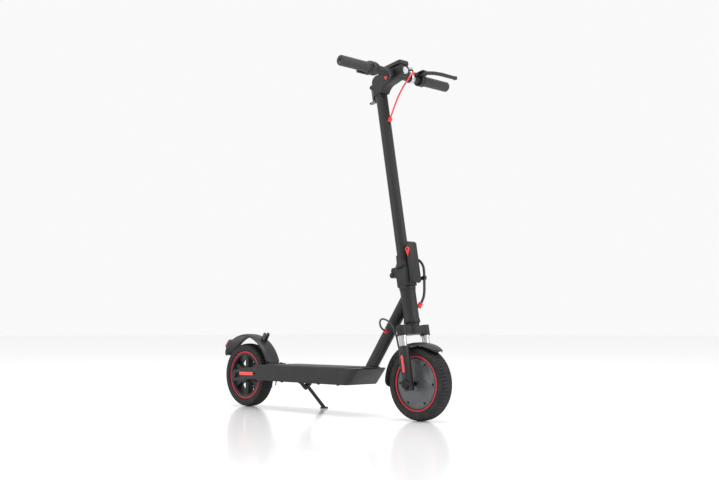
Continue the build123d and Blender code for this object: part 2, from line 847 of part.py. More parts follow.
disc_face = disc_left + disc_thickness / 2
with BuildPart() as brake_disc:
    with BuildSketch(side_plane(disc_face, rear_axle_point)):
        Circle(disc_radius)
        Circle(rear_axle_radius + 4, mode=Mode.SUBTRACT)
        with PolarLocations(disc_radius - 7, disc_holes):
            Circle(3)
        with PolarLocations(disc_radius - 7, disc_holes):
            Circle(3, mode=Mode.SUBTRACT)
        with PolarLocations(disc_radius - 21, 6, 30):
            SlotOverall(15, 11, rotation=90, mode=Mode.SUBTRACT)
    extrude(amount=disc_thickness)
    with BuildSketch(side_plane(disc_face + screw_head_height, rear_axle_point)):
        with PolarLocations(rear_hub_radius - 7, 6):
            Circle(screw_head_radius - 1)
    extrude(amount=screw_head_height)
finish(brake_disc, "brake_disc")

# ---- Rear arms, axle and brake ----

arm_outer = arm_inner + arm_thickness
arm_rise = deck_bottom + 5
with BuildPart() as rear_arms:
    for arm in (-1, 1):
        outer_face = max(arm * arm_inner, arm * arm_outer)
        with BuildSketch(side_plane(outer_face)):
            with BuildLine():
                Polyline(
                    (deck_rear_x, arm_rise),
                    (deck_rear_x, arm_rise + arm_height),
                    (rear_axle_x, axle_height + arm_end_radius),
                    (rear_axle_x, axle_height - arm_end_radius),
                    close=True,
                )
            make_face()
            with Locations((rear_axle_x, axle_height)):
                Circle(arm_end_radius)
        extrude(amount=arm_thickness)
        with BuildSketch(Plane.XY.offset(arm_rise - 2)):
            with Locations((deck_rear_x - arm_foot_thickness / 2, arm * (arm_outer + arm_foot_inner) / 2)):
                Rectangle(arm_foot_thickness, arm_outer - arm_foot_inner)
        extrude(amount=arm_height + 2)
    with BuildSketch(rear_wheel_side):
        Circle(rear_axle_radius + running_fit)
    extrude(amount=2 * arm_outer, both=True, mode=Mode.SUBTRACT)
finish(rear_arms, "rear_arms")

nut_height = 8.0
spacer_radius = 9.0
with BuildPart() as rear_axle:
    with BuildSketch(rear_wheel_side):
        Circle(rear_axle_radius)
    extrude(amount=arm_outer + nut_height, both=True)
    for nut_side in (-1, 1):
        with BuildSketch(rear_wheel_side.offset(nut_side * arm_outer)):
            RegularPolygon(9.5, 6)
            Circle(rear_axle_radius + running_fit, mode=Mode.SUBTRACT)
        extrude(amount=nut_side * nut_height)
    for spacer_left, spacer_right in (
        (arm_inner, disc_left + disc_thickness / 2 + screw_head_height + skin_gap),
        (-rear_hub_half_width - skin_gap, -arm_inner),
    ):
        with BuildSketch(side_plane(spacer_left, rear_axle_point)):
            Circle(spacer_radius)
            Circle(rear_axle_radius + running_fit, mode=Mode.SUBTRACT)
        extrude(amount=spacer_left - spacer_right)
finish(rear_axle, "rear_axle")

strip_start = rear_axle_x + 24
strip_length = 72.0
with BuildPart() as rear_reflectors:
    for arm in (-1, 1):
        outer_face = max(arm * arm_outer, arm * (arm_outer + reflector_thickness))
        with BuildSketch(side_plane(outer_face)):
            with Locations((strip_start + strip_length / 2, axle_height + 8)):
                RectangleRounded(strip_length, 11, 3)
        extrude(amount=reflector_thickness)
finish(rear_reflectors, "rear_reflectors")

caliper_x = rear_axle_x + 48
caliper_z = axle_height - 13
caliper_outer = disc_left + 10
slot_left = disc_left + caliper_slot / 2
caliper_pin_x = caliper_x + 9
caliper_pin_z = caliper_z - 7
with BuildPart() as brake_caliper:
    with BuildSketch(side_plane(caliper_outer)):
        with Locations((caliper_x, caliper_z)):
            RectangleRounded(32, 24, 4)
    extrude(amount=17)
    with BuildSketch(side_plane(slot_left, rear_axle_point)):
        Circle(disc_radius + 1.5)
    extrude(amount=caliper_slot, mode=Mode.SUBTRACT)
    with BuildSketch(side_plane(arm_inner)):
        with Locations((caliper_x - 2, caliper_z + 7.5)):
            Rectangle(20, 9)
    extrude(amount=arm_inner - caliper_outer)
    with BuildSketch(side_plane(caliper_outer + 4)):
        with Locations((caliper_pin_x, caliper_pin_z)):
            Circle(2.5)
    extrude(amount=4)
finish(brake_caliper, "brake_caliper")

caliper_arm_length = 26.0
with BuildPart() as caliper_arm:
    with BuildSketch(side_plane(caliper_outer + 3.3)):
        with Locations((caliper_pin_x, caliper_pin_z)):
            Circle(5)
        with Locations(Location((caliper_pin_x, caliper_pin_z), -70)):
            with Locations((caliper_arm_length / 2, 0)):
                SlotOverall(caliper_arm_length, 6)
        with Locations((caliper_pin_x, caliper_pin_z)):
            Circle(2.5 + running_fit, mode=Mode.SUBTRACT)
    extrude(amount=3)
finish(caliper_arm, "caliper_arm")

# ---- Rear fender, latch and tail light ----

fender_outer = rear_fender_inner + fender_thickness
foot_front = deck_rear_x + fender_foot_length
with BuildPart() as rear_fender:
    with BuildSketch(radial_plane(rear_axle_point, rear_fender_start)):
        with BuildLine():
            Polyline(*fender_section(rear_fender_inner), close=True)
        make_face()
    revolve(
        axis=Axis(rear_axle_point, (0, -1, 0)),
        revolution_arc=rear_fender_end - rear_fender_start,
    )
    with BuildSketch(Plane.XY.offset(deck_top)):
        with Locations(((foot_front + deck_rear_x) / 2, 0)):
            RectangleRounded(fender_foot_length, 2 * fender_half_width - 4, 6)
    extrude(amount=fender_thickness + 1.5)
    with BuildSketch(side_plane(fender_half_width - 2, rear_axle_point)):
        Circle(rear_fender_inner - 0.5)
    extrude(amount=2 * fender_half_width - 4, mode=Mode.SUBTRACT)
    with BuildSketch(radial_plane(rear_axle_point, tail_light_angle).offset(-17)):
        with Locations((0, fender_outer + 4)):
            RectangleRounded(30, 14, 4)
    extrude(amount=34)
    with BuildSketch(side_plane(20, rear_axle_point)):
        Circle(rear_fender_inner + 1)
    extrude(amount=40, mode=Mode.SUBTRACT)
finish(rear_fender, "rear_fender")
latch_turn = radians(latch_angle)
latch_x = rear_axle_x + latch_radius * cos(latch_turn)
latch_z = axle_height + latch_radius * sin(latch_turn)
latch_gap = hook_width / 2 + moving_gap
with BuildPart() as fender_latch:
    for ear in (-1, 1):
        ear_left = max(ear * latch_gap, ear * (latch_gap + 3.5))
        with BuildSketch(side_plane(ear_left, rear_axle_point)):
            with Locations(Location((0, 0), latch_angle)):
                with Locations(((fender_outer + latch_radius) / 2, 0)):
                    Rectangle(latch_radius - fender_outer + 4, 13)
                with Locations((latch_radius, 0)):
                    Circle(6.5)
        extrude(amount=3.5)
    with BuildSketch(side_plane(latch_gap + 3.5, rear_axle_point)):
        with Locations((latch_radius * cos(latch_turn), latch_radius * sin(latch_turn))):
            Circle(latch_pin_radius)
    extrude(amount=2 * latch_gap + 7)
    with BuildSketch(side_plane(20, rear_axle_point)):
        Circle(fender_outer)
    extrude(amount=40, mode=Mode.SUBTRACT)
finish(fender_latch, "fender_latch")

light_base = fender_outer + 11
with BuildPart() as tail_light_lens:
    with BuildSketch(radial_plane(rear_axle_point, tail_light_angle).offset(-15)):
        with Locations((0, light_base + 3.5)):
            RectangleRounded(27, 7, 3)
    extrude(amount=30)
finish(tail_light_lens, "tail_light_lens")

# ---- Fasteners of the deck, the arms and the rear fender ----

with BuildPart() as chassis_screws:
    with BuildSketch(Plane.XY.offset(deck_bottom - cover_thickness - screw_head_height)):
        with Locations(*cover_screw_places):
            Circle(screw_head_radius)
    extrude(amount=screw_head_height)
    with BuildSketch(Plane.XY.offset(deck_top + fender_thickness + 1.5)):
        with Locations((foot_front - 10, 16), (foot_front - 10, -16)):
            Circle(screw_head_radius)
    extrude(amount=screw_head_height)
    with BuildSketch(Plane.YZ.offset(deck_rear_x - arm_foot_thickness)):
        for arm in (-1, 1):
            with Locations((arm * 44, arm_rise + 8), (arm * 44, arm_rise + arm_height - 8)):
                Circle(screw_head_radius)
    extrude(amount=-screw_head_height)
    for arm in (-1, 1):
        with BuildSketch(side_plane(arm * arm_outer, rear_axle_point)):
            with Locations((24 + strip_length + 6, 9)):
                Circle(screw_head_radius - 1)
        extrude(amount=-arm * screw_head_height)
finish(chassis_screws, "chassis_screws")

# ---- Kickstand ----

stand_x = front_axle_x - stand_setback
stand_pivot = Vector(stand_x, stand_left, stand_height)
stand_foot = Vector(stand_x + stand_foot_forward, stand_left + stand_foot_out, stand_foot_height / 2)
stand_down = (stand_foot - stand_pivot).normalized()
stand_folded = Vector(-1, 0.12, -0.12).normalized()
stand_axis = stand_down.cross(stand_folded).normalized()
stand_fold_angle = degrees(acos(stand_down.dot(stand_folded)))
stand_plane = Plane(origin=stand_pivot, x_dir=stand_down, z_dir=stand_axis)
barrel_half = 8.0
ear_thickness = 5.0
base_height = 4.0
with BuildPart() as kickstand:
    with BuildSketch(stand_plane.offset(-barrel_half)):
        Circle(9)
    extrude(amount=2 * barrel_half)
    with BuildSketch(Plane(origin=stand_pivot, z_dir=stand_down)):
        Circle(stand_radius)
    extrude(amount=(stand_foot - stand_pivot).length)
    with BuildSketch(Plane.XY):
        with Locations((stand_foot.X, stand_foot.Y)):
            Circle(stand_foot_radius)
    extrude(amount=stand_foot_height)
    with BuildSketch(stand_plane.offset(-barrel_half)):
        Circle(stand_pin_radius + running_fit)
    extrude(amount=2 * barrel_half, mode=Mode.SUBTRACT)
finish(kickstand, "kickstand")

cover_bottom = deck_bottom - cover_thickness
with BuildPart() as kickstand_bracket:
    ear_start = barrel_half + moving_gap
    for ear in (-1, 1):
        with BuildSketch(stand_plane.offset(ear * ear_start)):
            Circle(9)
            with Locations((-20, 0)):
                Rectangle(40, 18)
        extrude(amount=ear * ear_thickness)
    with BuildSketch(stand_plane.offset(-ear_start - ear_thickness - 1)):
        Circle(stand_pin_radius)
    extrude(amount=2 * (ear_start + ear_thickness + 1))
    with BuildSketch(Plane.XY.offset(cover_bottom - base_height)):
        with Locations((stand_x + 3, stand_left - 19)):
            RectangleRounded(54, 42, 6)
    extrude(amount=base_height)
    split(bisect_by=Plane.XY.offset(cover_bottom), keep=Keep.BOTTOM)
finish(kickstand_bracket, "kickstand_bracket")

# ---- Folding lever and its catch ----

shell_forward = lever_forward + 9
with BuildPart() as fold_lever:
    with BuildSketch(fork_side(lever_half_width)):
        with BuildLine():
            Polyline(
                (lever_forward - 5, lever_up - 6),
                (shell_forward - 4, lever_up - 6),
                (shell_forward, lever_up + 2),
                (shell_forward, lever_top - 6),
                (shell_forward - 5, lever_top),
                (lever_forward - 4, lever_top),
                (lever_forward - 4, lever_top - 28),
                (lever_forward - 5, lever_top - 32),
                close=True,
            )
        make_face()
    extrude(amount=2 * lever_half_width)
    with BuildSketch(fork_side(lever_half_width - 4)):
        with Locations((lever_forward - 6, (lever_up - 10 + lever_top - 28) / 2)):
            Rectangle(2 * (shell_forward - lever_forward) - 6 + 12, lever_top - 18 - lever_up)
    extrude(amount=2 * (lever_half_width - 4), mode=Mode.SUBTRACT)
    with BuildSketch(fork_side(lever_half_width + 2)):
        with Locations((lever_forward, lever_up)):
            Circle(3)
    extrude(amount=2 * lever_half_width + 4)
    catch_up = lever_top - 24
    catch_forward = lever_forward + 2
    with BuildSketch(fork_side(-lever_half_width)):
        with Locations((catch_forward, catch_up)):
            Circle(catch_pin_radius)
    extrude(amount=catch_thickness + 2)
finish(fold_lever, "fold_lever")

with BuildPart() as safety_catch:
    with BuildSketch(fork_side(-lever_half_width - skin_gap)):
        with BuildLine():
            head = CenterArc((catch_forward, catch_up), catch_radius, -30, 240)
            tip = (catch_forward, catch_up - catch_length)
            Line(head @ 1, tip)
            Line(tip, head @ 0)
        make_face()
        with Locations((catch_forward, catch_up)):
            Circle(catch_pin_radius + running_fit, mode=Mode.SUBTRACT)
    extrude(amount=catch_thickness)
finish(safety_catch, "safety_catch")

# ---- Stem ----

with BuildPart() as stem_tube:
    with BuildSketch(fork_side(0)):
        with BuildLine():
            bottom = block_top + skin_gap
            Polyline(
                (0, bottom),
                (27, bottom),
                (27, bottom + 7),
                (22.5, bottom + 18),
                (21.5, stem_foot_top),
                (0, stem_foot_top),
                close=True,
            )
        make_face()
    revolve(axis=Axis(fork_point(0, 0, 0), steer.z_dir))
    with BuildSketch(fork_side(knuckle_half_width)):
        with Locations((-fold_back, fold_up)):
            Circle(knuckle_radius)
        with BuildLine():
            Polyline(
                (-fold_back - knuckle_radius, fold_up),
                (-fold_back + knuckle_radius, fold_up),
                (-fold_back + knuckle_radius, block_top + skin_gap),
                (-16, block_top + skin_gap),
                (-16, block_top + 8),
                (-fold_back - knuckle_radius + 4, block_top + 8),
                (-fold_back - knuckle_radius, block_top + 2),
                close=True,
            )
        make_face()
        with Locations((-fold_back, fold_up)):
            Circle(fold_pin_radius + running_fit, mode=Mode.SUBTRACT)
    extrude(amount=2 * knuckle_half_width)
    with BuildSketch(fork_plane(stem_start)):
        Circle(stem_radius)
    extrude(amount=neck_start - stem_start)
    with BuildSketch(fork_plane(stem_start)):
        Circle(stem_radius - stem_wall)
    extrude(amount=neck_start - stem_start, mode=Mode.SUBTRACT)
finish(stem_tube, "stem_tube")

with BuildPart() as neck_casting:
    with BuildSketch(fork_side(0)):
        with BuildLine():
            Line((-neck_half_width, neck_start), (-neck_half_width, console_base - 18))
            ThreePointArc((-neck_half_width, console_base - 18), (-12, console_base - 6),
                          (6, console_base))
            Line((6, console_base), (console_front - 4, console_base))
            ThreePointArc((console_front - 4, console_base), (console_front - 1, console_base - 17),
                          (console_front - 9, console_base - 34))
            Line((console_front - 9, console_base - 34), (52, console_base - 42))
            ThreePointArc((52, console_base - 42), (30, console_base - 49),
                          (neck_half_width, neck_start))
            Line((neck_half_width, neck_start), (-neck_half_width, neck_start))
        make_face()
    extrude(amount=neck_half_width, both=True)
    outline = neck_casting.faces().filter_by(Axis.Y)
    fillet(outline.edges(), 5)
    with BuildSketch(fork_side(30)):
        with Locations((bar_forward, bar_up)):
            Circle(bar_radius + running_fit)
    extrude(amount=60, mode=Mode.SUBTRACT)
    light_forward = console_front - 12
    with BuildSketch(Plane(origin=fork_point(light_forward, 0, bar_up - 1), z_dir=steer.x_dir)):
        Circle(light_radius + running_fit)
    extrude(amount=30, mode=Mode.SUBTRACT)
finish(neck_casting, "neck_casting")

with BuildPart() as headlight_lens:
    with BuildSketch(Plane(origin=fork_point(light_forward, 0, bar_up - 1), z_dir=steer.x_dir)):
        Circle(light_radius)
    extrude(amount=13)
    fillet(headlight_lens.faces().sort_by(Axis.X)[-1].edges(), 3)
finish(headlight_lens, "headlight_lens")

console_top = console_base + console_height
console_middle = (console_back + console_front) / 2
button_forward = console_back + 13
with BuildPart() as console_housing:
    with BuildSketch(fork_plane(console_base, console_middle)):
        RectangleRounded(console_front - console_back, 44, 9)
    extrude(amount=console_height)
    chamfer(console_housing.faces().sort_by(Axis.Z)[-1].edges(), 2)
    with BuildSketch(fork_plane(console_top - 1.5, console_middle + 10)):
        RectangleRounded(46 + 2 * running_fit, 32 + 2 * running_fit, 6)
    extrude(amount=3, mode=Mode.SUBTRACT)
    with BuildSketch(fork_plane(console_top - 8, button_forward)):
        Circle(button_radius + skin_gap)
    extrude(amount=10, mode=Mode.SUBTRACT)
finish(console_housing, "console_housing")

with BuildPart() as display_glass:
    with BuildSketch(fork_plane(console_top - 1.5, console_middle + 10)):
        RectangleRounded(46, 32, 6)
    extrude(amount=1.5)
finish(display_glass, "display_glass")

with BuildPart() as power_button:
    with BuildSketch(fork_plane(console_top - 8 + button_travel + skin_gap, button_forward)):
        Circle(button_radius)
    extrude(amount=8)
    fillet(power_button.faces().sort_by(Axis.Z)[-1].edges(), 0.8)
finish(power_button, "power_button")

with BuildPart() as handlebar:
    with BuildSketch(fork_side(0)):
        with Locations((bar_forward, bar_up)):
            Circle(bar_radius)
            Circle(bar_radius - bar_wall, mode=Mode.SUBTRACT)
    extrude(amount=bar_width / 2 - 3, both=True)
finish(handlebar, "handlebar")

with BuildPart() as grips:
    for grip in (-1, 1):
        with BuildSketch(fork_side(grip * grip_inner)):
            with Locations((bar_forward, bar_up)):
                Circle(grip_radius)
        extrude(amount=-grip * grip_length)
        with BuildSketch(fork_side(grip * grip_inner)):
            with Locations((bar_forward, bar_up)):
                Circle(grip_flange_radius)
        extrude(amount=-grip * 4)
    fillet(grips.edges().filter_by(GeomType.CIRCLE).sort_by(Axis.Y)[0], 2)
    fillet(grips.edges().filter_by(GeomType.CIRCLE).sort_by(Axis.Y)[-1], 2)
    with BuildSketch(fork_side(0)):
        with Locations((bar_forward, bar_up)):
            Circle(bar_radius + running_fit)
    extrude(amount=bar_width / 2 - 3 + running_fit, both=True, mode=Mode.SUBTRACT)
finish(grips, "grips")
# ---- Controls on the bar ----

throttle_width = 22.0
with BuildPart() as throttle_housing:
    with BuildSketch(fork_side(throttle_left + throttle_width)):
        with Locations((bar_forward, bar_up)):
            Circle(21)
        with Locations((bar_forward + 16, bar_up)):
            RectangleRounded(16, 14, 3)
        with Locations((bar_forward, bar_up)):
            Circle(bar_radius + running_fit, mode=Mode.SUBTRACT)
    extrude(amount=throttle_width)
finish(throttle_housing, "throttle_housing")

with BuildPart() as throttle_lever:
    ring_left = throttle_left + throttle_width + skin_gap + 6
    with BuildSketch(fork_side(ring_left)):
        with Locations((bar_forward, bar_up)):
            Circle(19)
        with Locations(Location((bar_forward, bar_up), paddle_angle)):
            with Locations((25, 0)):
                Rectangle(18, paddle_width)
        with Locations((bar_forward, bar_up)):
            Circle(bar_radius + skin_gap, mode=Mode.SUBTRACT)
    extrude(amount=6)
    with BuildSketch(fork_side(ring_left)):
        with Locations(Location((bar_forward, bar_up), paddle_angle)):
            with Locations((31, 0)):
                RectangleRounded(7, 16, 3)
    extrude(amount=48)
finish(throttle_lever, "throttle_lever")

with BuildPart() as brake_clamp:
    with BuildSketch(fork_side(clamp_right + clamp_width)):
        with Locations((bar_forward, bar_up)):
            Circle(19)
    extrude(amount=clamp_width)
    for plate_up in (perch_up - blade_height / 2 - skin_gap - 3, perch_up + blade_height / 2 + skin_gap):
        with BuildSketch(fork_plane(plate_up, bar_forward, pivot_left)):
            with Locations((pivot_forward - bar_forward - 6, 0)):
                RectangleRounded(26, 20, 5)
        extrude(amount=3)
    with BuildSketch(fork_plane(perch_up - blade_height / 2 - skin_gap - 3, bar_forward, pivot_left)):
        with Locations((pivot_forward - bar_forward - 15, 0)):
            Rectangle(8, 19)
    extrude(amount=blade_height + 2 * skin_gap + 6)
    with BuildSketch(fork_side(clamp_right + clamp_width + 1)):
        with Locations((bar_forward, bar_up)):
            Circle(bar_radius + running_fit)
    extrude(amount=60, mode=Mode.SUBTRACT)
    with BuildSketch(fork_plane(perch_up - blade_height / 2 - 3, pivot_forward, pivot_left)):
        Circle(2.5)
    extrude(amount=blade_height + 7)
    with BuildSketch(fork_side(pivot_left - 9)):
        with Locations((pivot_forward - 15, perch_up)):
            Circle(4)
    extrude(amount=12)
finish(brake_clamp, "brake_clamp")

with BuildPart() as brake_lever:
    with BuildSketch(fork_plane(perch_up - blade_height / 2, pivot_forward, pivot_left)):
        Circle(7)
        with BuildLine():
            Polyline(
                (-2, 6),
                (11, 34),
                (15, 60),
                (15, lever_reach - 2),
                (24, lever_reach - 2),
                (25, 60),
                (20, 28),
                (6, -3),
                close=True,
            )
        make_face()
        with Locations((19.5, lever_reach)):
            Circle(lever_tip_radius)
        Circle(2.5 + running_fit, mode=Mode.SUBTRACT)
    extrude(amount=blade_height)
finish(brake_lever, "brake_lever")

bell_left = 66.0
bell_foot_up = bar_up + bar_radius + 2
with BuildPart() as bell_base:
    with BuildSketch(fork_side(bell_left + 7)):
        with Locations((bar_forward, bar_up)):
            Circle(bar_radius + 3.5)
            Circle(bar_radius + running_fit, mode=Mode.SUBTRACT)
    extrude(amount=14)
    with BuildSketch(fork_plane(bell_foot_up, bar_forward, bell_left)):
        Circle(10)
    extrude(amount=11)
    with BuildSketch(fork_plane(bell_foot_up + 11, bar_forward, bell_left)):
        RectangleRounded(17, 17, 3)
    extrude(amount=6)
finish(bell_base, "bell_base")

with BuildPart() as bell_lever:
    with BuildSketch(fork_plane(bell_foot_up + 4, bar_forward, bell_left)):
        Circle(12.5)
        with Locations(Location((0, 0), 125)):
            with Locations((16, 0)):
                SlotOverall(18, 7)
        Circle(10 + running_fit, mode=Mode.SUBTRACT)
    extrude(amount=5)
finish(bell_lever, "bell_lever")

# ---- Stem hook, which meets the fender's latch when the stem is folded ----

hook_forward = -neck_half_width - 13
throat_along = hook_arm - 2 * hook_radius - latch_pin_radius
throat_reach = sqrt(throat_along**2 + hook_throat_out**2)
throat_angle = degrees(acos(throat_along / throat_reach))
latch_point = Vector(latch_x, 0, latch_z)
latch_distance = (latch_point - hinge_point).length
swing = radians(hook_open + throat_angle)
throat_back = -(hook_forward + fold_back) + throat_reach * sin(swing)
hook_up = fold_up + sqrt(latch_distance**2 - throat_back**2) + throat_reach * cos(swing)
print(f"hook pivot {hook_up:.1f} up the steering line, throat {throat_back:.1f} back")

with BuildPart() as hook_bracket:
    bracket_gap = hook_width / 2 + skin_gap
    with BuildSketch(fork_side(bracket_gap + 3)):
        with Locations((hook_forward, hook_up)):
            Circle(6.5)
        with Locations(((hook_forward - neck_half_width) / 2, hook_up)):
            Rectangle(-neck_half_width - hook_forward, 13)
    extrude(amount=2 * bracket_gap + 6)
    with BuildSketch(fork_side(bracket_gap)):
        with Locations((-neck_half_width - 3 - 20, hook_up)):
            Rectangle(40, 60)
    extrude(amount=2 * bracket_gap, mode=Mode.SUBTRACT)
    with BuildSketch(fork_side(9.5)):
        with Locations((-neck_half_width - 1.5, hook_up - 4)):
            Rectangle(3, 26)
    extrude(amount=19)
    with BuildSketch(fork_side(bracket_gap + 3)):
        with Locations((hook_forward, hook_up)):
            Circle(2.5)
    extrude(amount=2 * bracket_gap + 6)
finish(hook_bracket, "hook_bracket")

with BuildPart() as stem_hook:
    with BuildSketch(fork_side(hook_width / 2)):
        with Locations((hook_forward, hook_up)):
            Circle(5.5)
        with Locations((hook_forward, hook_up - hook_arm / 2)):
            Rectangle(7, hook_arm - 2)
        with Locations((hook_forward - hook_throat_out / 2 - 1, hook_up - hook_arm + hook_radius / 2)):
            RectangleRounded(hook_throat_out + 14, 6.5, 3)
        with Locations((hook_forward, hook_up)):
            Circle(2.5 + running_fit, mode=Mode.SUBTRACT)
    extrude(amount=hook_width)
finish(stem_hook, "stem_hook")

# ---- Cords and their grommets ----

def along_fork(route):
    return [tuple(fork_point(*point)) for point in route]


make_cord(along_fork(brake_cable_route), brake_cable_diameter, "brake_cable")
make_cord(along_fork(throttle_cable_route), throttle_cable_diameter, "throttle_cable")
make_cord(along_fork(motor_upper_route), motor_cable_diameter, "motor_cable_upper")
make_cord(along_fork(motor_lower_route), motor_cable_diameter, "motor_cable_lower")
make_cord(along_fork(harness_upper_route), harness_diameter, "harness_upper")
make_cord(along_fork(harness_lower_route), harness_diameter, "harness_lower")
make_cord(rear_cable_route, 4.0, "rear_brake_cable")


with BuildPart() as stem_grommets:
    with BuildSketch(end_plane(brake_cable_route, -8)):
        Circle(6)
    extrude(amount=14)
    with BuildSketch(fork_side(-neck_half_width)):
        with Locations((grommet_forward, grommet_up)):
            Circle(grommet_radius)
    extrude(amount=grommet_height)
    with BuildSketch(fork_side(neck_half_width + 3)):
        with Locations((88, 932)):
            Circle(5.5)
            Circle(2, mode=Mode.SUBTRACT)
    extrude(amount=3)
    with BuildSketch(fork_plane(stem_start)):
        Circle(stem_radius)
    extrude(amount=neck_start - stem_start, mode=Mode.SUBTRACT)
    with BuildSketch(end_plane(brake_cable_route, -30)):
        Circle(brake_cable_diameter / 2 + running_fit)
    extrude(amount=50, mode=Mode.SUBTRACT)
    with BuildSketch(end_plane(throttle_cable_route, -20)):
        Circle(throttle_cable_diameter / 2 + running_fit)
    extrude(amount=30, mode=Mode.SUBTRACT)
finish(stem_grommets, "stem_grommets")

with BuildPart() as tube_grommets:
    motor_entry = fork_point(*motor_upper_route[0])
    motor_away = fork_point(*motor_upper_route[1]) - motor_entry
    with BuildSketch(Plane(origin=motor_entry, z_dir=motor_away).offset(-6)):
        Circle(motor_cable_diameter / 2 + 3.5)
    extrude(amount=10)
    with BuildSketch(end_plane(harness_lower_route, -5)):
        Circle(harness_diameter / 2 + 3)
    extrude(amount=15)
    with BuildSketch(tube_plane):
        Circle(down_tube_radius)
    extrude(amount=tube_length, mode=Mode.SUBTRACT)
    with BuildSketch(fork_plane(head_tube_start)):
        Circle(head_tube_radius)
    extrude(amount=head_tube_length, mode=Mode.SUBTRACT)
    with BuildSketch(Plane(origin=motor_entry, z_dir=motor_away).offset(-10)):
        Circle(motor_cable_diameter / 2 + running_fit)
    extrude(amount=20, mode=Mode.SUBTRACT)
    with BuildSketch(end_plane(harness_lower_route, -10)):
        Circle(harness_diameter / 2 + running_fit)
    extrude(amount=30, mode=Mode.SUBTRACT)
finish(tube_grommets, "tube_grommets")
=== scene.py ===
import json
import math

import bmesh
import bpy
import numpy as np
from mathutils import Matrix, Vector

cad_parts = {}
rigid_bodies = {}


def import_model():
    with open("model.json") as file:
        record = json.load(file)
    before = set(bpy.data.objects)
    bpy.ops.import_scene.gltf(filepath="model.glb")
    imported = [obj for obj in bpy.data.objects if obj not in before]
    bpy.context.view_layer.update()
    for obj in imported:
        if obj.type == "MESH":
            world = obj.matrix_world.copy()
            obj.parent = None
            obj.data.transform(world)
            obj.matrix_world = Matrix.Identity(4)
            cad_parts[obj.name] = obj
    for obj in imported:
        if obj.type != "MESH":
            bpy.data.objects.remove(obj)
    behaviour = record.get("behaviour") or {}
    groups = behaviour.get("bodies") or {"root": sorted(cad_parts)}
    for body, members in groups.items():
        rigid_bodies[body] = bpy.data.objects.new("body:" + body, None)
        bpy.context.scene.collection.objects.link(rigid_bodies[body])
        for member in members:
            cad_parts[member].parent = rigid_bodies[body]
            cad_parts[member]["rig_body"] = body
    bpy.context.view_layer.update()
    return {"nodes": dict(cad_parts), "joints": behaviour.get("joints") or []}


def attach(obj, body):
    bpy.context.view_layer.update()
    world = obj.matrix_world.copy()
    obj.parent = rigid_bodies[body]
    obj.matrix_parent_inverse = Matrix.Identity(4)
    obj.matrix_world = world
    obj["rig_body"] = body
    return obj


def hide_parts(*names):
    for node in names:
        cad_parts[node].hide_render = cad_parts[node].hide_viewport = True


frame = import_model()
nodes = frame["nodes"]
scene = bpy.context.scene
mm = 0.001

# The steering line: its foot is the front axle, and it leans back by the rake.
joints = {joint["name"]: joint for joint in frame["joints"]}
steering = dict(axle=joints["front_wheel_spin"]["pos_m"], rake=math.radians(10))
forwardDir = np.array([math.cos(steering["rake"]), 0, math.sin(steering["rake"])])
leftDir = np.array([0.0, 1.0, 0.0])
upDir = np.array([-math.sin(steering["rake"]), 0, math.cos(steering["rake"])])
frontAxle = np.array(steering["axle"])
rearAxle = np.array(joints["rear_wheel_spin"]["pos_m"])


# Points given forward of, left of and up the steering line, in mm, as places in metres.
def forkPlace(points):
    points = np.asarray(points, float) * mm
    return frontAxle + points @ np.array([forwardDir, leftDir, upDir])


# Camera, floor and light.
view = dict(place=(2.3965, -2.2247, 0.271), azimuth=45.25, lookUp=4.94, lens=50.7)
camera = bpy.data.objects.new("camera", bpy.data.cameras.new("camera"))
scene.collection.objects.link(camera)
camera.data.lens = view["lens"]
camera.data.sensor_width = 36
camera.location = view["place"]
camera.rotation_euler = (math.radians(90 + view["lookUp"]), 0, math.radians(view["azimuth"]))
scene.camera = camera

studio = dict(floorColor=(0.93, 0.93, 0.935, 1), floorRough=0.14, floorSize=60.0, sky=(1, 1, 1, 1),
              skyLight=0.95)
softBoxes = {
    "topBox": dict(place=(0.2, -0.3, 3.4), aim=(0, 0, 0.4), size=(2.6, 1.6), power=75),
    "frontBox": dict(place=(3.0, 0.9, 1.6), aim=(0.2, 0, 0.5), size=(1.2, 2.4), power=45),
    "sideBox": dict(place=(-1.2, -2.8, 1.5), aim=(0, 0, 0.4), size=(1.6, 2.2), power=30),
}


def placeStudio():
    scene.view_settings.view_transform = "Standard"
    world = bpy.data.worlds.new("studio")
    scene.world = world
    world.use_nodes = True
    background = world.node_tree.nodes["Background"]
    background.inputs["Color"].default_value = studio["sky"]
    background.inputs["Strength"].default_value = studio["skyLight"]
    half = studio["floorSize"] / 2
    mesh = bpy.data.meshes.new("floor")
    mesh.from_pydata([(-half, -half, 0), (half, -half, 0), (half, half, 0), (-half, half, 0)], [],
                     [(0, 1, 2, 3)])
    floor = bpy.data.objects.new("floor", mesh)
    scene.collection.objects.link(floor)
    paint = bpy.data.materials.new("studioFloor")
    paint.use_nodes = True
    shader = paint.node_tree.nodes["Principled BSDF"]
    shader.inputs["Base Color"].default_value = studio["floorColor"]
    shader.inputs["Roughness"].default_value = studio["floorRough"]
    mesh.materials.append(paint)
    for name, box in softBoxes.items():
        light = bpy.data.lights.new(name, "AREA")
        light.shape = "RECTANGLE"
        light.size, light.size_y = box["size"]
        light.energy = box["power"]
        lamp = bpy.data.objects.new(name, light)
        lamp.location = box["place"]
        lamp.rotation_euler = (Vector(box["place"]) - Vector(box["aim"])).to_track_quat("Z", "Y").to_euler()
        scene.collection.objects.link(lamp)


placeStudio()
print("studio ready")


# A shader node with its inputs and settings filled in.
def addNode(tree, kind, inputs=None, **settings):
    node = tree.nodes.new(kind)
    for key, value in settings.items():
        setattr(node, key, value)
    for key, value in (inputs or {}).items():
        node.inputs[key].default_value = value
    return node


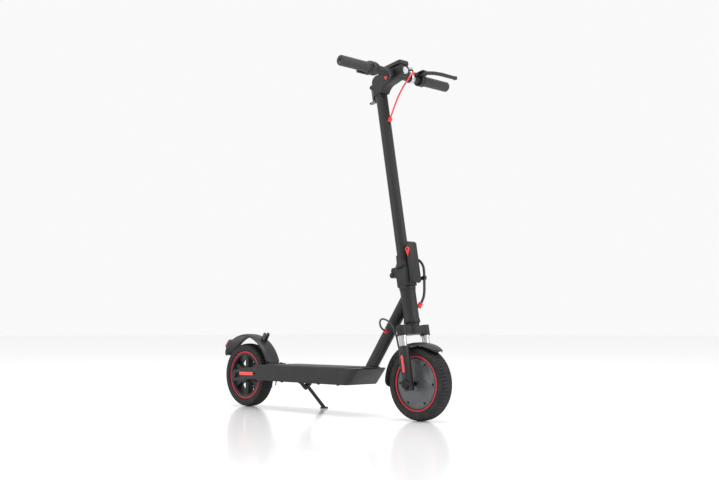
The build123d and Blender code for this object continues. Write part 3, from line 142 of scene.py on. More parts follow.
# An empty node group with named inputs and outputs: its tree, and its two end nodes.
def newGroup(name, inputs, outputs):
    tree = bpy.data.node_groups.new(name, "ShaderNodeTree")
    for label, kind, value in inputs:
        socket = tree.interface.new_socket(label, in_out="INPUT", socket_type="NodeSocket" + kind)
        if value is not None:
            socket.default_value = value
    for label, kind in outputs:
        tree.interface.new_socket(label, in_out="OUTPUT", socket_type="NodeSocket" + kind)
    return tree, tree.nodes.new("NodeGroupInput"), tree.nodes.new("NodeGroupOutput")


# Fine surface grain as a height, and broad drifts of tone.
def grainGroup():
    tree, source, sink = newGroup(
        "surfaceGrain",
        [("Place", "Vector", None), ("Scale", "Float", 900.0), ("Drift", "Float", 14.0)],
        [("Height", "Float"), ("Tone", "Float")],
    )
    fine = addNode(tree, "ShaderNodeTexNoise", {"Detail": 3.0, "Roughness": 0.6})
    broad = addNode(tree, "ShaderNodeTexNoise", {"Detail": 4.0, "Roughness": 0.55})
    for noise, scale in ((fine, "Scale"), (broad, "Drift")):
        tree.links.new(source.outputs["Place"], noise.inputs["Vector"])
        tree.links.new(source.outputs[scale], noise.inputs["Scale"])
    tree.links.new(fine.outputs["Fac"], sink.inputs["Height"])
    tree.links.new(broad.outputs["Fac"], sink.inputs["Tone"])
    return tree


# Scattered rubbed spots and thin scratches: 1 where the surface is worn.
def scuffGroup():
    tree, source, sink = newGroup(
        "scuffs",
        [("Place", "Vector", None), ("Scale", "Float", 30.0), ("Cover", "Float", 0.3)],
        [("Mask", "Float")],
    )
    stretch = addNode(tree, "ShaderNodeMapping", {"Scale": (1.0, 1.0, 9.0), "Rotation": (0.6, 0.4, 0.2)})
    tree.links.new(source.outputs["Place"], stretch.inputs["Vector"])
    patch = addNode(tree, "ShaderNodeTexNoise", {"Detail": 5.0, "Roughness": 0.7})
    streak = addNode(tree, "ShaderNodeTexNoise", {"Detail": 6.0, "Roughness": 0.75})
    tree.links.new(source.outputs["Place"], patch.inputs["Vector"])
    tree.links.new(stretch.outputs["Vector"], streak.inputs["Vector"])
    finer = addNode(tree, "ShaderNodeMath", {1: 4.0}, operation="MULTIPLY")
    tree.links.new(source.outputs["Scale"], patch.inputs["Scale"])
    tree.links.new(source.outputs["Scale"], finer.inputs[0])
    tree.links.new(finer.outputs[0], streak.inputs["Scale"])
    edge = addNode(tree, "ShaderNodeMath", {0: 0.78}, operation="SUBTRACT")
    tree.links.new(source.outputs["Cover"], edge.inputs[1])
    both = addNode(tree, "ShaderNodeMath", operation="MULTIPLY")
    tree.links.new(patch.outputs["Fac"], both.inputs[0])
    tree.links.new(streak.outputs["Fac"], both.inputs[1])
    root = addNode(tree, "ShaderNodeMath", {1: 0.5}, operation="POWER")
    tree.links.new(both.outputs[0], root.inputs[0])
    above = addNode(tree, "ShaderNodeMath", operation="SUBTRACT")
    tree.links.new(root.outputs[0], above.inputs[0])
    tree.links.new(edge.outputs[0], above.inputs[1])
    sharp = addNode(tree, "ShaderNodeMath", {1: 9.0}, operation="MULTIPLY", use_clamp=True)
    tree.links.new(above.outputs[0], sharp.inputs[0])
    tree.links.new(sharp.outputs[0], sink.inputs["Mask"])
    return tree


# Dust that thickens towards the floor: 1 where it lies full.
def dustGroup():
    tree, source, sink = newGroup(
        "settledDust",
        [("Place", "Vector", None), ("Top", "Float", 0.25), ("Scale", "Float", 60.0)],
        [("Mask", "Float")],
    )
    split = addNode(tree, "ShaderNodeSeparateXYZ")
    tree.links.new(source.outputs["Place"], split.inputs[0])
    low = addNode(tree, "ShaderNodeMapRange", {"From Min": 0.0, "To Min": 1.0, "To Max": 0.0})
    tree.links.new(split.outputs["Z"], low.inputs["Value"])
    tree.links.new(source.outputs["Top"], low.inputs["From Max"])
    cloud = addNode(tree, "ShaderNodeTexNoise", {"Detail": 6.0, "Roughness": 0.7})
    tree.links.new(source.outputs["Place"], cloud.inputs["Vector"])
    tree.links.new(source.outputs["Scale"], cloud.inputs["Scale"])
    patchy = addNode(tree, "ShaderNodeMapRange", {"From Min": 0.4, "From Max": 0.75})
    tree.links.new(cloud.outputs["Fac"], patchy.inputs["Value"])
    mask = addNode(tree, "ShaderNodeMath", operation="MULTIPLY", use_clamp=True)
    tree.links.new(low.outputs["Result"], mask.inputs[0])
    tree.links.new(patchy.outputs["Result"], mask.inputs[1])
    tree.links.new(mask.outputs[0], sink.inputs["Mask"])
    return tree


# A band between two radii about the Y axis: 1 inside it. Turned is the distance from the axis.
def ringGroup():
    tree, source, sink = newGroup(
        "ringBand",
        [("Place", "Vector", None), ("Inner", "Float", 0.07), ("Outer", "Float", 0.08)],
        [("Mask", "Float"), ("Radius", "Float")],
    )
    flat = addNode(tree, "ShaderNodeVectorMath", {1: (1.0, 0.0, 1.0)}, operation="MULTIPLY")
    tree.links.new(source.outputs["Place"], flat.inputs[0])
    length = addNode(tree, "ShaderNodeVectorMath", operation="LENGTH")
    tree.links.new(flat.outputs["Vector"], length.inputs[0])
    past = addNode(tree, "ShaderNodeMath", operation="GREATER_THAN")
    within = addNode(tree, "ShaderNodeMath", operation="LESS_THAN")
    for test, limit in ((past, "Inner"), (within, "Outer")):
        tree.links.new(length.outputs["Value"], test.inputs[0])
        tree.links.new(source.outputs[limit], test.inputs[1])
    both = addNode(tree, "ShaderNodeMath", operation="MULTIPLY")
    tree.links.new(past.outputs[0], both.inputs[0])
    tree.links.new(within.outputs[0], both.inputs[1])
    tree.links.new(both.outputs[0], sink.inputs["Mask"])
    tree.links.new(length.outputs["Value"], sink.inputs["Radius"])
    return tree


groups = dict(grain=grainGroup(), scuff=scuffGroup(), dust=dustGroup(), ring=ringGroup())


# One material as it is built up: its tree, its shader, and the colour and roughness so far.
class Finish:
    def __init__(self, name, look):
        self.material = bpy.data.materials.new(name)
        self.material.use_nodes = True
        self.tree = self.material.node_tree
        self.shader = self.tree.nodes["Principled BSDF"]
        self.place = self.tree.nodes.new("ShaderNodeTexCoord").outputs["Object"]
        self.shader.inputs["Metallic"].default_value = look.get("metal", 0.0)
        for label, value in look.get("shader", {}).items():
            self.shader.inputs[label].default_value = value
        self.color = None
        self.rough = None
        self.height = None

    def group(self, key, place=None, **values):
        node = self.tree.nodes.new("ShaderNodeGroup")
        node.node_tree = groups[key]
        self.tree.links.new(place or self.place, node.inputs["Place"])
        for label, value in values.items():
            node.inputs[label].default_value = value
        return node

    def mixColor(self, mask, color, amount=1.0):
        mix = self.tree.nodes.new("ShaderNodeMix")
        mix.data_type = "RGBA"
        if isinstance(self.color, tuple):
            mix.inputs["A"].default_value = self.color
        else:
            self.tree.links.new(self.color, mix.inputs["A"])
        mix.inputs["B"].default_value = color
        self.tree.links.new(self.scaled(mask, amount), mix.inputs["Factor"])
        self.color = mix.outputs["Result"]

    def mixRough(self, mask, value, amount=1.0):
        mix = self.tree.nodes.new("ShaderNodeMix")
        self.tree.links.new(self.rough, mix.inputs["A"])
        mix.inputs["B"].default_value = value
        self.tree.links.new(self.scaled(mask, amount), mix.inputs["Factor"])
        self.rough = mix.outputs["Result"]

    def scaled(self, socket, amount):
        if amount == 1.0:
            return socket
        node = addNode(self.tree, "ShaderNodeMath", {1: amount}, operation="MULTIPLY")
        self.tree.links.new(socket, node.inputs[0])
        return node.outputs[0]

    def added(self, first, second):
        node = addNode(self.tree, "ShaderNodeMath", operation="ADD")
        self.tree.links.new(first, node.inputs[0])
        self.tree.links.new(second, node.inputs[1])
        return node.outputs[0]

    def close(self, bumpStrength, bumpDistance):
        self.tree.links.new(self.color, self.shader.inputs["Base Color"])
        self.tree.links.new(self.rough, self.shader.inputs["Roughness"])
        bump = addNode(self.tree, "ShaderNodeBump", {"Strength": bumpStrength, "Distance": bumpDistance})
        self.tree.links.new(self.height, bump.inputs["Height"])
        self.tree.links.new(bump.outputs["Normal"], self.shader.inputs["Normal"])
        return self.material


# The layers every finish has: grain, drifting tone, scuffs and dust.
def startFinish(name, look):
    finish = Finish(name, look)
    grain = finish.group("grain", Scale=look["grain"], Drift=look.get("drift", 14.0))
    finish.color = tuple(look["color"]) + (1,)
    finish.mixColor(grain.outputs["Tone"], tuple(look["tone"]) + (1,))
    spread = addNode(
        finish.tree,
        "ShaderNodeMapRange",
        {"From Min": 0.3, "From Max": 0.7, "To Min": look["rough"][0], "To Max": look["rough"][1]},
    )
    finish.tree.links.new(grain.outputs["Tone"], spread.inputs["Value"])
    finish.rough = spread.outputs["Result"]
    finish.height = grain.outputs["Height"]
    if "scuff" in look:
        scuff = finish.group("scuff", Scale=look["scuff"]["scale"], Cover=look["scuff"]["cover"])
        finish.mixColor(scuff.outputs["Mask"], tuple(look["scuff"]["color"]) + (1,), look["scuff"]["amount"])
        finish.mixRough(scuff.outputs["Mask"], look["scuff"]["rough"], look["scuff"]["amount"])
    if "dust" in look:
        dust = finish.group("dust", Top=look["dust"]["top"], Scale=look["dust"]["scale"])
        finish.mixColor(dust.outputs["Mask"], tuple(look["dust"]["color"]) + (1,), look["dust"]["amount"])
        finish.mixRough(dust.outputs["Mask"], 0.9, look["dust"]["amount"])
    return finish


paleDust = dict(top=0.3, scale=45.0, color=(0.24, 0.23, 0.22), amount=0.05)
tyreDust = dict(top=0.34, scale=60.0, color=(0.16, 0.155, 0.15), amount=0.12)
looks = {
    "powderCoat": dict(color=(0.0085, 0.0085, 0.009), tone=(0.014, 0.014, 0.015), rough=(0.42, 0.52),
                       grain=1500.0, bump=(0.22, 0.0004), shader={"Specular IOR Level": 0.32},
                       scuff=dict(scale=16.0, cover=0.13, color=(0.10, 0.10, 0.10), rough=0.6, amount=0.5),
                       dust=paleDust),
    "castBlack": dict(color=(0.007, 0.007, 0.0075), tone=(0.012, 0.012, 0.013), rough=(0.42, 0.58),
                      grain=700.0, bump=(0.35, 0.0006), shader={"Specular IOR Level": 0.35},
                      scuff=dict(scale=25.0, cover=0.16, color=(0.12, 0.12, 0.12), rough=0.5, amount=0.5),
                      dust=paleDust),
    "hubGrey": dict(color=(0.072, 0.074, 0.080), tone=(0.095, 0.097, 0.104), rough=(0.38, 0.48), metal=0.5,
                    grain=1800.0, bump=(0.18, 0.0003),
                    scuff=dict(scale=22.0, cover=0.15, color=(0.25, 0.25, 0.25), rough=0.35, amount=0.4),
                    dust=paleDust),
    "steel": dict(color=(0.42, 0.42, 0.43), tone=(0.55, 0.55, 0.56), rough=(0.24, 0.38), metal=1.0,
                  grain=900.0, bump=(0.10, 0.0003),
                  scuff=dict(scale=40.0, cover=0.16, color=(0.25, 0.23, 0.21), rough=0.5, amount=0.5)),
    "silver": dict(color=(0.42, 0.42, 0.43), tone=(0.52, 0.52, 0.53), rough=(0.12, 0.18), metal=1.0,
                   grain=600.0, bump=(0.04, 0.0002),
                   scuff=dict(scale=50.0, cover=0.08, color=(0.36, 0.355, 0.35), rough=0.3, amount=0.2)),
    "blackPlastic": dict(color=(0.0075, 0.0075, 0.008), tone=(0.012, 0.012, 0.013), rough=(0.38, 0.48),
                         grain=1300.0, bump=(0.25, 0.0004), shader={"Specular IOR Level": 0.38},
                         scuff=dict(scale=20.0, cover=0.14, color=(0.09, 0.09, 0.09), rough=0.6,
                                    amount=0.5), dust=paleDust),
    "glossBlack": dict(color=(0.012, 0.012, 0.013), tone=(0.018, 0.018, 0.020), rough=(0.12, 0.20),
                       grain=500.0, bump=(0.04, 0.0002), shader={"Coat Weight": 0.6, "Coat Roughness": 0.08},
                       scuff=dict(scale=35.0, cover=0.12, color=(0.06, 0.06, 0.06), rough=0.4, amount=0.4)),
    "redRubber": dict(color=(0.62, 0.012, 0.016), tone=(0.74, 0.022, 0.024), rough=(0.42, 0.55), grain=900.0,
                      bump=(0.20, 0.0003),
                      scuff=dict(scale=40.0, cover=0.14, color=(0.32, 0.02, 0.02), rough=0.7, amount=0.5)),
    "redJacket": dict(color=(0.66, 0.014, 0.020), tone=(0.76, 0.022, 0.028), rough=(0.24, 0.34), grain=800.0,
                      bump=(0.10, 0.0002), shader={"Coat Weight": 0.3, "Coat Roughness": 0.2},
                      scuff=dict(scale=60.0, cover=0.13, color=(0.36, 0.02, 0.02), rough=0.6, amount=0.4)),
    "blackJacket": dict(color=(0.016, 0.016, 0.017), tone=(0.026, 0.026, 0.028), rough=(0.30, 0.42),
                        grain=900.0, bump=(0.12, 0.0002),
                        scuff=dict(scale=60.0, cover=0.14, color=(0.08, 0.08, 0.08), rough=0.6, amount=0.4)),
    "packWrap": dict(color=(0.05, 0.10, 0.24), tone=(0.07, 0.13, 0.30), rough=(0.25, 0.35), grain=400.0,
                     bump=(0.1, 0.0003)),
    "darkScrew": dict(color=(0.010, 0.010, 0.010), tone=(0.02, 0.02, 0.02), rough=(0.30, 0.45), metal=0.8,
                      grain=1000.0, bump=(0.1, 0.0002),
                      scuff=dict(scale=80.0, cover=0.16, color=(0.2, 0.2, 0.2), rough=0.35, amount=0.5)),
}
finishes = {name: startFinish(name, look).close(*look["bump"]) for name, look in looks.items()}


# Object coordinates measured from a point.
def centredPlace(finish, centre):
    shift = addNode(finish.tree, "ShaderNodeMapping", {"Location": tuple(-np.asarray(centre, float))})
    finish.tree.links.new(finish.place, shift.inputs["Vector"])
    return shift.outputs["Vector"]


# A rim with a red stripe between two radii of its side faces.
def wheelRimFinish(name, look, centre):
    finish = startFinish(name, look)
    stripe = finish.group("ring", centredPlace(finish, centre), Inner=look["stripe"][0],
                          Outer=look["stripe"][1])
    finish.mixColor(stripe.outputs["Mask"], look["stripeColor"])
    return finish.close(*look["bump"])


# Ground steel: fine rings about the axle.
def brushedDiscFinish(name, look, centre):
    finish = startFinish(name, look)
    ring = finish.group("ring", centredPlace(finish, centre), Inner=look["track"][0], Outer=look["track"][1])
    lines = addNode(finish.tree, "ShaderNodeMath", {1: look["lines"]}, operation="MULTIPLY")
    finish.tree.links.new(ring.outputs["Radius"], lines.inputs[0])
    wave = addNode(finish.tree, "ShaderNodeMath", operation="SINE")
    finish.tree.links.new(lines.outputs[0], wave.inputs[0])
    finish.height = finish.added(finish.height, finish.scaled(wave.outputs[0], 0.5))
    finish.mixColor(ring.outputs["Mask"], look["trackColor"], 0.8)
    finish.mixRough(ring.outputs["Mask"], look["trackRough"], 0.8)
    return finish.close(*look["bump"])


# A reflector: small prisms under a smooth face.
def prismFinish(name, look):
    finish = startFinish(name, look)
    cells = addNode(finish.tree, "ShaderNodeTexVoronoi", {"Scale": look["prisms"], "Randomness": 0.0})
    finish.tree.links.new(finish.place, cells.inputs["Vector"])
    finish.mixColor(cells.outputs["Distance"], look["deep"], 0.7)
    finish.height = finish.added(finish.height, cells.outputs["Distance"])
    return finish.close(*look["bump"])


# Moulded rubber with a fine stipple between the ribs.
def gripFinish(name, look):
    finish = startFinish(name, look)
    cells = addNode(finish.tree, "ShaderNodeTexVoronoi", {"Scale": look["stipple"], "Randomness": 0.35})
    finish.tree.links.new(finish.place, cells.inputs["Vector"])
    finish.height = finish.added(finish.height, finish.scaled(cells.outputs["Distance"], 1.5))
    return finish.close(*look["bump"])


def glassFinish(name, look):
    finish = startFinish(name, look)
    return finish.close(*look["bump"])


rimLook = dict(looks["castBlack"], stripe=(0.0768, 0.0806), stripeColor=(0.56, 0.012, 0.028, 1))
discLook = dict(looks["steel"], track=(0.037, 0.056), lines=9000.0, trackColor=(0.62, 0.62, 0.63, 1),
                trackRough=0.2)
prismLook = dict(color=(0.78, 0.035, 0.025), tone=(0.85, 0.05, 0.035), rough=(0.16, 0.24), grain=500.0,
                 prisms=420.0,
                 deep=(0.45, 0.01, 0.01, 1), bump=(0.3, 0.0006),
                 shader={"Coat Weight": 0.8, "Coat Roughness": 0.06},
                 scuff=dict(scale=50.0, cover=0.12, color=(0.4, 0.05, 0.04), rough=0.5, amount=0.4))
gripLook = dict(color=(0.010, 0.010, 0.0105), tone=(0.017, 0.017, 0.018), rough=(0.46, 0.58), grain=900.0,
                stipple=700.0,
                bump=(0.45, 0.0005), scuff=dict(scale=25.0, cover=0.16, color=(0.075, 0.075, 0.075),
                                                rough=0.7, amount=0.5))
matLook = dict(gripLook, color=(0.009, 0.009, 0.0095), tone=(0.015, 0.015, 0.016),
               dust=dict(paleDust, amount=0.12), stipple=520.0)
tyreLook = dict(color=(0.007, 0.007, 0.0075), tone=(0.011, 0.011, 0.012), rough=(0.58, 0.74), grain=700.0,
                stipple=900.0, bump=(0.3, 0.0005), dust=tyreDust, shader={"Specular IOR Level": 0.3},
                scuff=dict(scale=30.0, cover=0.18, color=(0.07, 0.068, 0.066), rough=0.85, amount=0.55))
clearLook = dict(color=(0.92, 0.93, 0.95), tone=(0.97, 0.97, 0.98), rough=(0.04, 0.10), grain=300.0,
                 bump=(0.03, 0.0003),
                 shader={"Transmission Weight": 0.55, "IOR": 1.5})
tailLook = dict(color=(0.22, 0.004, 0.006), tone=(0.30, 0.008, 0.010), rough=(0.08, 0.16), grain=300.0,
                prisms=330.0,
                deep=(0.08, 0.001, 0.001, 1), bump=(0.15, 0.0005),
                shader={"Coat Weight": 0.8, "Coat Roughness": 0.05})
smokedLook = dict(color=(0.010, 0.010, 0.012), tone=(0.016, 0.016, 0.018), rough=(0.05, 0.12), grain=300.0,
                  bump=(0.02, 0.0002), shader={"Coat Weight": 1.0, "Coat Roughness": 0.03})
finishes["frontRim"] = wheelRimFinish("frontRim", rimLook, frontAxle)
finishes["rearRim"] = wheelRimFinish("rearRim", rimLook, rearAxle)
finishes["brakeDisc"] = brushedDiscFinish("brakeDisc", discLook, rearAxle)
finishes["reflector"] = prismFinish("reflector", prismLook)
finishes["gripRubber"] = gripFinish("gripRubber", gripLook)
finishes["matRubber"] = gripFinish("matRubber", matLook)
finishes["tyreRubber"] = gripFinish("tyreRubber", tyreLook)
finishes["clearLens"] = glassFinish("clearLens", clearLook)
finishes["tailLens"] = prismFinish("tailLens", tailLook)
finishes["smokedGlass"] = glassFinish("smokedGlass", smokedLook)
print("finishes ready")

nodeFinish = {
    "powderCoat": "deck_shell down_tube head_tube hinge_block stem_tube neck_casting fork_legs rear_arms",
    "castBlack": "fork_crown brake_caliper hook_bracket brake_clamp brake_lever kickstand_bracket kickstand"
                 " handlebar fold_lever rear_axle",
    "hubGrey": "hub_covers",
    "steel": "caliper_arm",
    "silver": "stanchions bell_base",
    "blackPlastic": "bottom_cover front_fender rear_fender throttle_housing throttle_lever console_housing"
                    " charge_socket bell_lever",
    "glossBlack": "stem_hook fender_latch",
    "redRubber": "stem_grommets tube_grommets charge_flap power_button safety_catch",
    "packWrap": "battery_pack",
    "darkScrew": "chassis_screws front_axle",
    "frontRim": "motor_shell",
    "rearRim": "rear_rim",
    "brakeDisc": "brake_disc",
    "reflector": "fork_reflectors rear_reflectors",
    "matRubber": "deck_mat",
    "clearLens": "headlight_lens",
    "tailLens": "tail_light_lens",
    "smokedGlass": "display_glass",
}
finishOf = {node: finishes[finish] for finish, names in nodeFinish.items() for node in names.split()}


# A drawn piece that rides on a body and takes the place of CAD nodes.
def addPiece(name, mesh, finish, body, replaced=()):
    piece = bpy.data.objects.new(name, mesh)
    scene.collection.objects.link(piece)
    mesh.materials.clear()
    mesh.materials.append(finish)
    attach(piece, body)
    if replaced:
        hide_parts(*replaced)
    return piece


# A copy of a CAD piece with its corners merged and its sharp edges rounded.
def rounded(node, width, angle=32):
    mesh = nodes[node].data.copy()
    work = bmesh.new()
    work.from_mesh(mesh)
    bmesh.ops.remove_doubles(work, verts=work.verts, dist=2e-6)
    bmesh.ops.dissolve_limit(work, angle_limit=math.radians(0.6), verts=work.verts, edges=work.edges)
    work.to_mesh(mesh)
    work.free()
    mesh.shade_smooth()
    piece = addPiece(node + "Rounded", mesh, finishOf[node], nodes[node]["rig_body"], [node])
    bevel = piece.modifiers.new("edges", "BEVEL")
    bevel.width = width
    bevel.segments = 2
    bevel.limit_method = "ANGLE"
    bevel.angle_limit = math.radians(angle)
    bevel.harden_normals = True
    return piece


edgeWidths = dict(
    deck_shell=1.2, neck_casting=2.0, console_housing=1.2, fork_crown=2.0, hinge_block=1.5, rear_arms=1.5,
    fold_lever=1.5, brake_lever=1.4, brake_clamp=1.0, throttle_housing=1.2,
    throttle_lever=1.0, bell_base=0.8, bell_lever=0.5, hook_bracket=0.8, stem_hook=1.0, kickstand=0.8,
    kickstand_bracket=0.8, brake_caliper=1.0, caliper_arm=0.5, fender_latch=0.6, fork_legs=1.0, head_tube=0.8,
    down_tube=0.8, stem_tube=0.8, motor_shell=0.8, rear_rim=1.2, hub_covers=0.7, charge_flap=0.6,
    power_button=0.2, safety_catch=0.4, chassis_screws=0.4, deck_mat=0.3, front_axle=0.8, rear_axle=0.5,
    bottom_cover=0.8, tail_light_lens=0.8, headlight_lens=0.5, handlebar=0.4, charge_socket=0.4,
)
for node, finish in finishOf.items():
    cad = nodes[node].data
    cad.materials.clear()
    cad.materials.append(finish)
for node, width in edgeWidths.items():
    rounded(node, width * mm)
print("edges rounded")

hubScrews = dict(count=6, circle=0.064, reach=0.0038, depth=0.0163)


# Faces of the hub covers that lie within a screw's reach of one of the screw centres turn dark.
def darkenHubScrews(piece):
    mesh = piece.data
    mesh.materials.append(finishes["darkScrew"])
    centres = np.empty(len(mesh.polygons) * 3)
    mesh.polygons.foreach_get("center", centres)
    centres = centres.reshape(-1, 3) - frontAxle
    turn = np.arange(hubScrews["count"]) * 2 * np.pi / hubScrews["count"]
    places = hubScrews["circle"] * np.c_[np.cos(turn), np.sin(turn)]
    gap = np.linalg.norm(centres[:, None, [0, 2]] - places[None], axis=2).min(1)
    dark = (gap < hubScrews["reach"]) & (np.abs(centres[:, 1]) > hubScrews["depth"])
    mesh.polygons.foreach_set("material_index", dark.astype(np.int32))


darkenHubScrews(bpy.data.objects["hub_coversRounded"])


# Quads over a grid of points, closed on itself where asked.
def gridFaces(rows, columns, ringRows=False, ringColumns=False):
    across = np.arange(rows if ringRows else rows - 1)
    along = np.arange(columns if ringColumns else columns - 1)
    i, j = np.meshgrid(across, along, indexing="ij")
    nextRow = (i + 1) % rows
    nextColumn = (j + 1) % columns
    corners = [i * columns + j, nextRow * columns + j, nextRow * columns + nextColumn,
               i * columns + nextColumn]
    return np.stack(corners, -1).reshape(-1, 4)


def gridMesh(name, points, ringRows=False, ringColumns=False, smooth=True):
    rows, columns = points.shape[:2]
    faces = gridFaces(rows, columns, ringRows, ringColumns)
    mesh = bpy.data.meshes.new(name)
    mesh.from_pydata(points.reshape(-1, 3).tolist(), [], faces.tolist())
    work = bmesh.new()
    work.from_mesh(mesh)
    bmesh.ops.remove_doubles(work, verts=work.verts, dist=1e-7)
    bmesh.ops.recalc_face_normals(work, faces=work.faces)
    work.to_mesh(mesh)
    work.free()
    if smooth:
        mesh.shade_smooth()
    return mesh


# Points of a turned surface: the profile (along, radius) carried round an axis.
def turned(centre, axis, along, radius, steps=96):
    axis = np.asarray(axis, float)
    side = np.cross(axis, [0.3, 0.9, 0.2])
    side /= np.linalg.norm(side)
    other = np.cross(axis, side)
    angle = np.linspace(0, 2 * np.pi, steps, endpoint=False)[:, None, None]
    ring = np.cos(angle) * side + np.sin(angle) * other
    along, radius = (np.asarray(values)[None, :, None] for values in (along, radius))
    return np.asarray(centre) + along * axis + radius * ring


tyreShape = dict(radius=0.108, halfWidth=0.025, waist=0.095, bead=0.0816, beadHalf=0.0203, blunt=0.8,
                 lug=64, stepsPerLug=10, lugDepth=0.0030, lugInner=0.0065, lugOuter=0.0225, lean=60.0,
                 innerEdge=0.0015, outerEdge=0.001, lugSharp=3, lugShare=1.2,
                 grooveAt=0.0045, grooveHalf=0.0011, grooveDepth=0.7,
                 wallRings=((0.0888, 0.0007, 0.0005), (0.0852, 0.0006, 0.0004)),
                 linerAt=0.092, linerDeep=0.7, linerWide=0.82)


# The tyre's section: above the waist a blunt ellipse, across = halfWidth * sin(t)^blunt, and below it a
# quarter ellipse down to the bead. Lugs are cut where sin(lug * turn + lean * across) dips, a groove runs
# each side of the middle, and each ring on the side wall is height * exp(-((r - radius) / width)^2).
def tyre(name, axle, body, node):
    s = tyreShape
    turn = np.linspace(0, 2 * np.pi, s["lug"] * s["stepsPerLug"], endpoint=False)
    upper = np.linspace(0, np.pi / 2, 25)
    lower = np.linspace(0, 1, 12)[1:]
    half = np.concatenate([
        s["halfWidth"] * np.sin(upper) ** s["blunt"],
        s["beadHalf"] + (s["halfWidth"] - s["beadHalf"]) * np.sqrt(1 - lower ** 2),
    ])
    rise = np.concatenate([
        s["waist"] + (s["radius"] - s["waist"]) * np.cos(upper) ** s["blunt"],
        s["waist"] - (s["waist"] - s["bead"]) * lower,
    ])
    across = np.concatenate([-half[:0:-1], half])
    outward = np.concatenate([rise[:0:-1], rise])
    spread = np.abs(across)
    cut = np.clip((spread - s["lugInner"]) / s["innerEdge"], 0, 1)
    cut *= np.clip((s["lugOuter"] - spread) / s["outerEdge"], 0, 1) * (outward > s["waist"])
    wave = np.sin(s["lug"] * turn[:, None] + s["lean"] * spread[None, :])
    lugs = np.clip(wave * s["lugSharp"] - s["lugShare"], 0, 1) * cut[None, :]
    groove = s["grooveDepth"] * np.exp(-((spread - s["grooveAt"]) / s["grooveHalf"]) ** 4)
    dip = s["lugDepth"] * np.maximum(lugs, groove[None, :])
    rings = sum(height * np.exp(-((outward - at) / width) ** 2) for at, width, height in s["wallRings"])
    outer = outward[None, :] - dip
    side = (across + np.sign(across) * rings)[None, :] + 0 * outer
    inner = s["linerAt"] + (outward[::-1] - s["linerAt"])[None, :] * s["linerDeep"] + 0 * outer
    innerSide = across[::-1][None, :] * s["linerWide"] + 0 * outer
    radius = np.concatenate([outer, inner], 1)
    left = np.clip(np.concatenate([side, innerSide], 1), -s["halfWidth"], s["halfWidth"])
    points = np.stack([radius * np.cos(turn)[:, None], left, radius * np.sin(turn)[:, None]], -1) + axle
    mesh = gridMesh(name, points, True, True)
    piece = addPiece(name, mesh, finishes["tyreRubber"], body, [node])


tyre("frontTyreTread", frontAxle, "front_wheel", "front_tyre")
tyre("rearTyreTread", rearAxle, "rear_wheel", "rear_tyre")
print("tyres ready")

fenders = {
    "frontFender": dict(
        node="front_fender", body="fork_lower", axle=frontAxle, inner=0.1172, start=50, end=187,
        tipStart=34, tipEnd=10, noseHalf=0.22, flare=0.006, half=0.031),
    "rearFender": dict(
        node="rear_fender", body="chassis", axle=rearAxle, inner=0.1382, start=17.5, end=152,
        tipStart=4, tipEnd=26, noseHalf=0.30, flare=0.0, half=0.029),
}
fenderShape = dict(thickness=0.0029, skirt=0.0085, blunt=0.68, skirtCurve=0.85, flareCurve=1.5)
fenderLug = dict(left=33.2, up=103, half=(0.008, 0.0035, 0.006), edge=0.0012)
tailLightSeat = dict(turn=136, reach=0.1450, half=(0.0070, 0.015, 0.017), edge=0.003)
rearFenderFoot = dict(middle=(-0.2495, 0, 0.14925), half=(0.018, 0.029, 0.00225), edge=0.0015)


# A fender's section is a blunt arch: across = half * sin(t)^blunt, and it drops by the skirt at its edges.
# Its half width narrows to a rounded tip over the first and last degrees of its sweep, and its first end
# lifts by flare * (1 - share)^flareCurve.
def fenderShell(name, fender):
    f = fenderShape
    angle = np.radians(np.linspace(fender["start"], fender["end"], 111))
    section = np.linspace(-np.pi / 2, np.pi / 2, 41)
    first = np.clip((np.degrees(angle) - fender["start"]) / fender["tipStart"], 0, 1)
    last = np.clip((fender["end"] - np.degrees(angle)) / fender["tipEnd"], 0, 1)
    narrow = np.sqrt(1 - (1 - first) ** 2) * np.sqrt(1 - (1 - last) ** 2)
    narrow = fender["noseHalf"] + (1 - fender["noseHalf"]) * narrow
    wide = np.sign(np.sin(section)) * np.abs(np.sin(section)) ** f["blunt"]
    drop = f["skirt"] * (1 - np.abs(np.cos(section)) ** f["skirtCurve"])
    layers = []
    for thin in (0.0, f["thickness"]):
        across = (fender["half"] - thin) * narrow[:, None] * wide[None, :]
        reach = fender["inner"] + f["thickness"] - thin - drop[None, :] * (1 - thin / f["skirt"])
        reach = reach + fender["flare"] * ((1 - first) ** f["flareCurve"])[:, None]
        layers.append((across, reach))
    across = np.concatenate([layers[0][0], layers[1][0][:, ::-1]], 1)
    reach = np.concatenate([layers[0][1], layers[1][1][:, ::-1]], 1)
    points = np.stack([reach * np.cos(angle)[:, None], across, reach * np.sin(angle)[:, None]], -1)
    middle = (points + points[:, ::-1]) / 2
    points = np.concatenate([middle[:1], points, middle[-1:]]) + fender["axle"]
    mesh = gridMesh(name, points, False, True)
    piece = addPiece(name, mesh, finishes["blackPlastic"], fender["body"], [fender["node"]])


# A black box with rounded edges, given by its middle, its half sizes and its three directions.
def softBlock(name, middle, block, axes, body, node):
    signs = np.array([[x, y, z] for x in (-1, 1) for y in (-1, 1) for z in (-1, 1)])
    corners = np.asarray(middle) + (signs * np.asarray(block["half"])) @ np.asarray(axes)
    mesh = bpy.data.meshes.new(name)
    quads = [(0, 1, 3, 2), (4, 6, 7, 5), (0, 4, 5, 1), (2, 3, 7, 6), (0, 2, 6, 4), (1, 5, 7, 3)]
    mesh.from_pydata(corners.tolist(), [], quads)
    mesh.shade_smooth()
    piece = addPiece(name, mesh, finishes["blackPlastic"], body, [node])
    bevel = piece.modifiers.new("edges", "BEVEL")
    bevel.width = block["edge"]
    bevel.segments = 3
    bevel.harden_normals = True


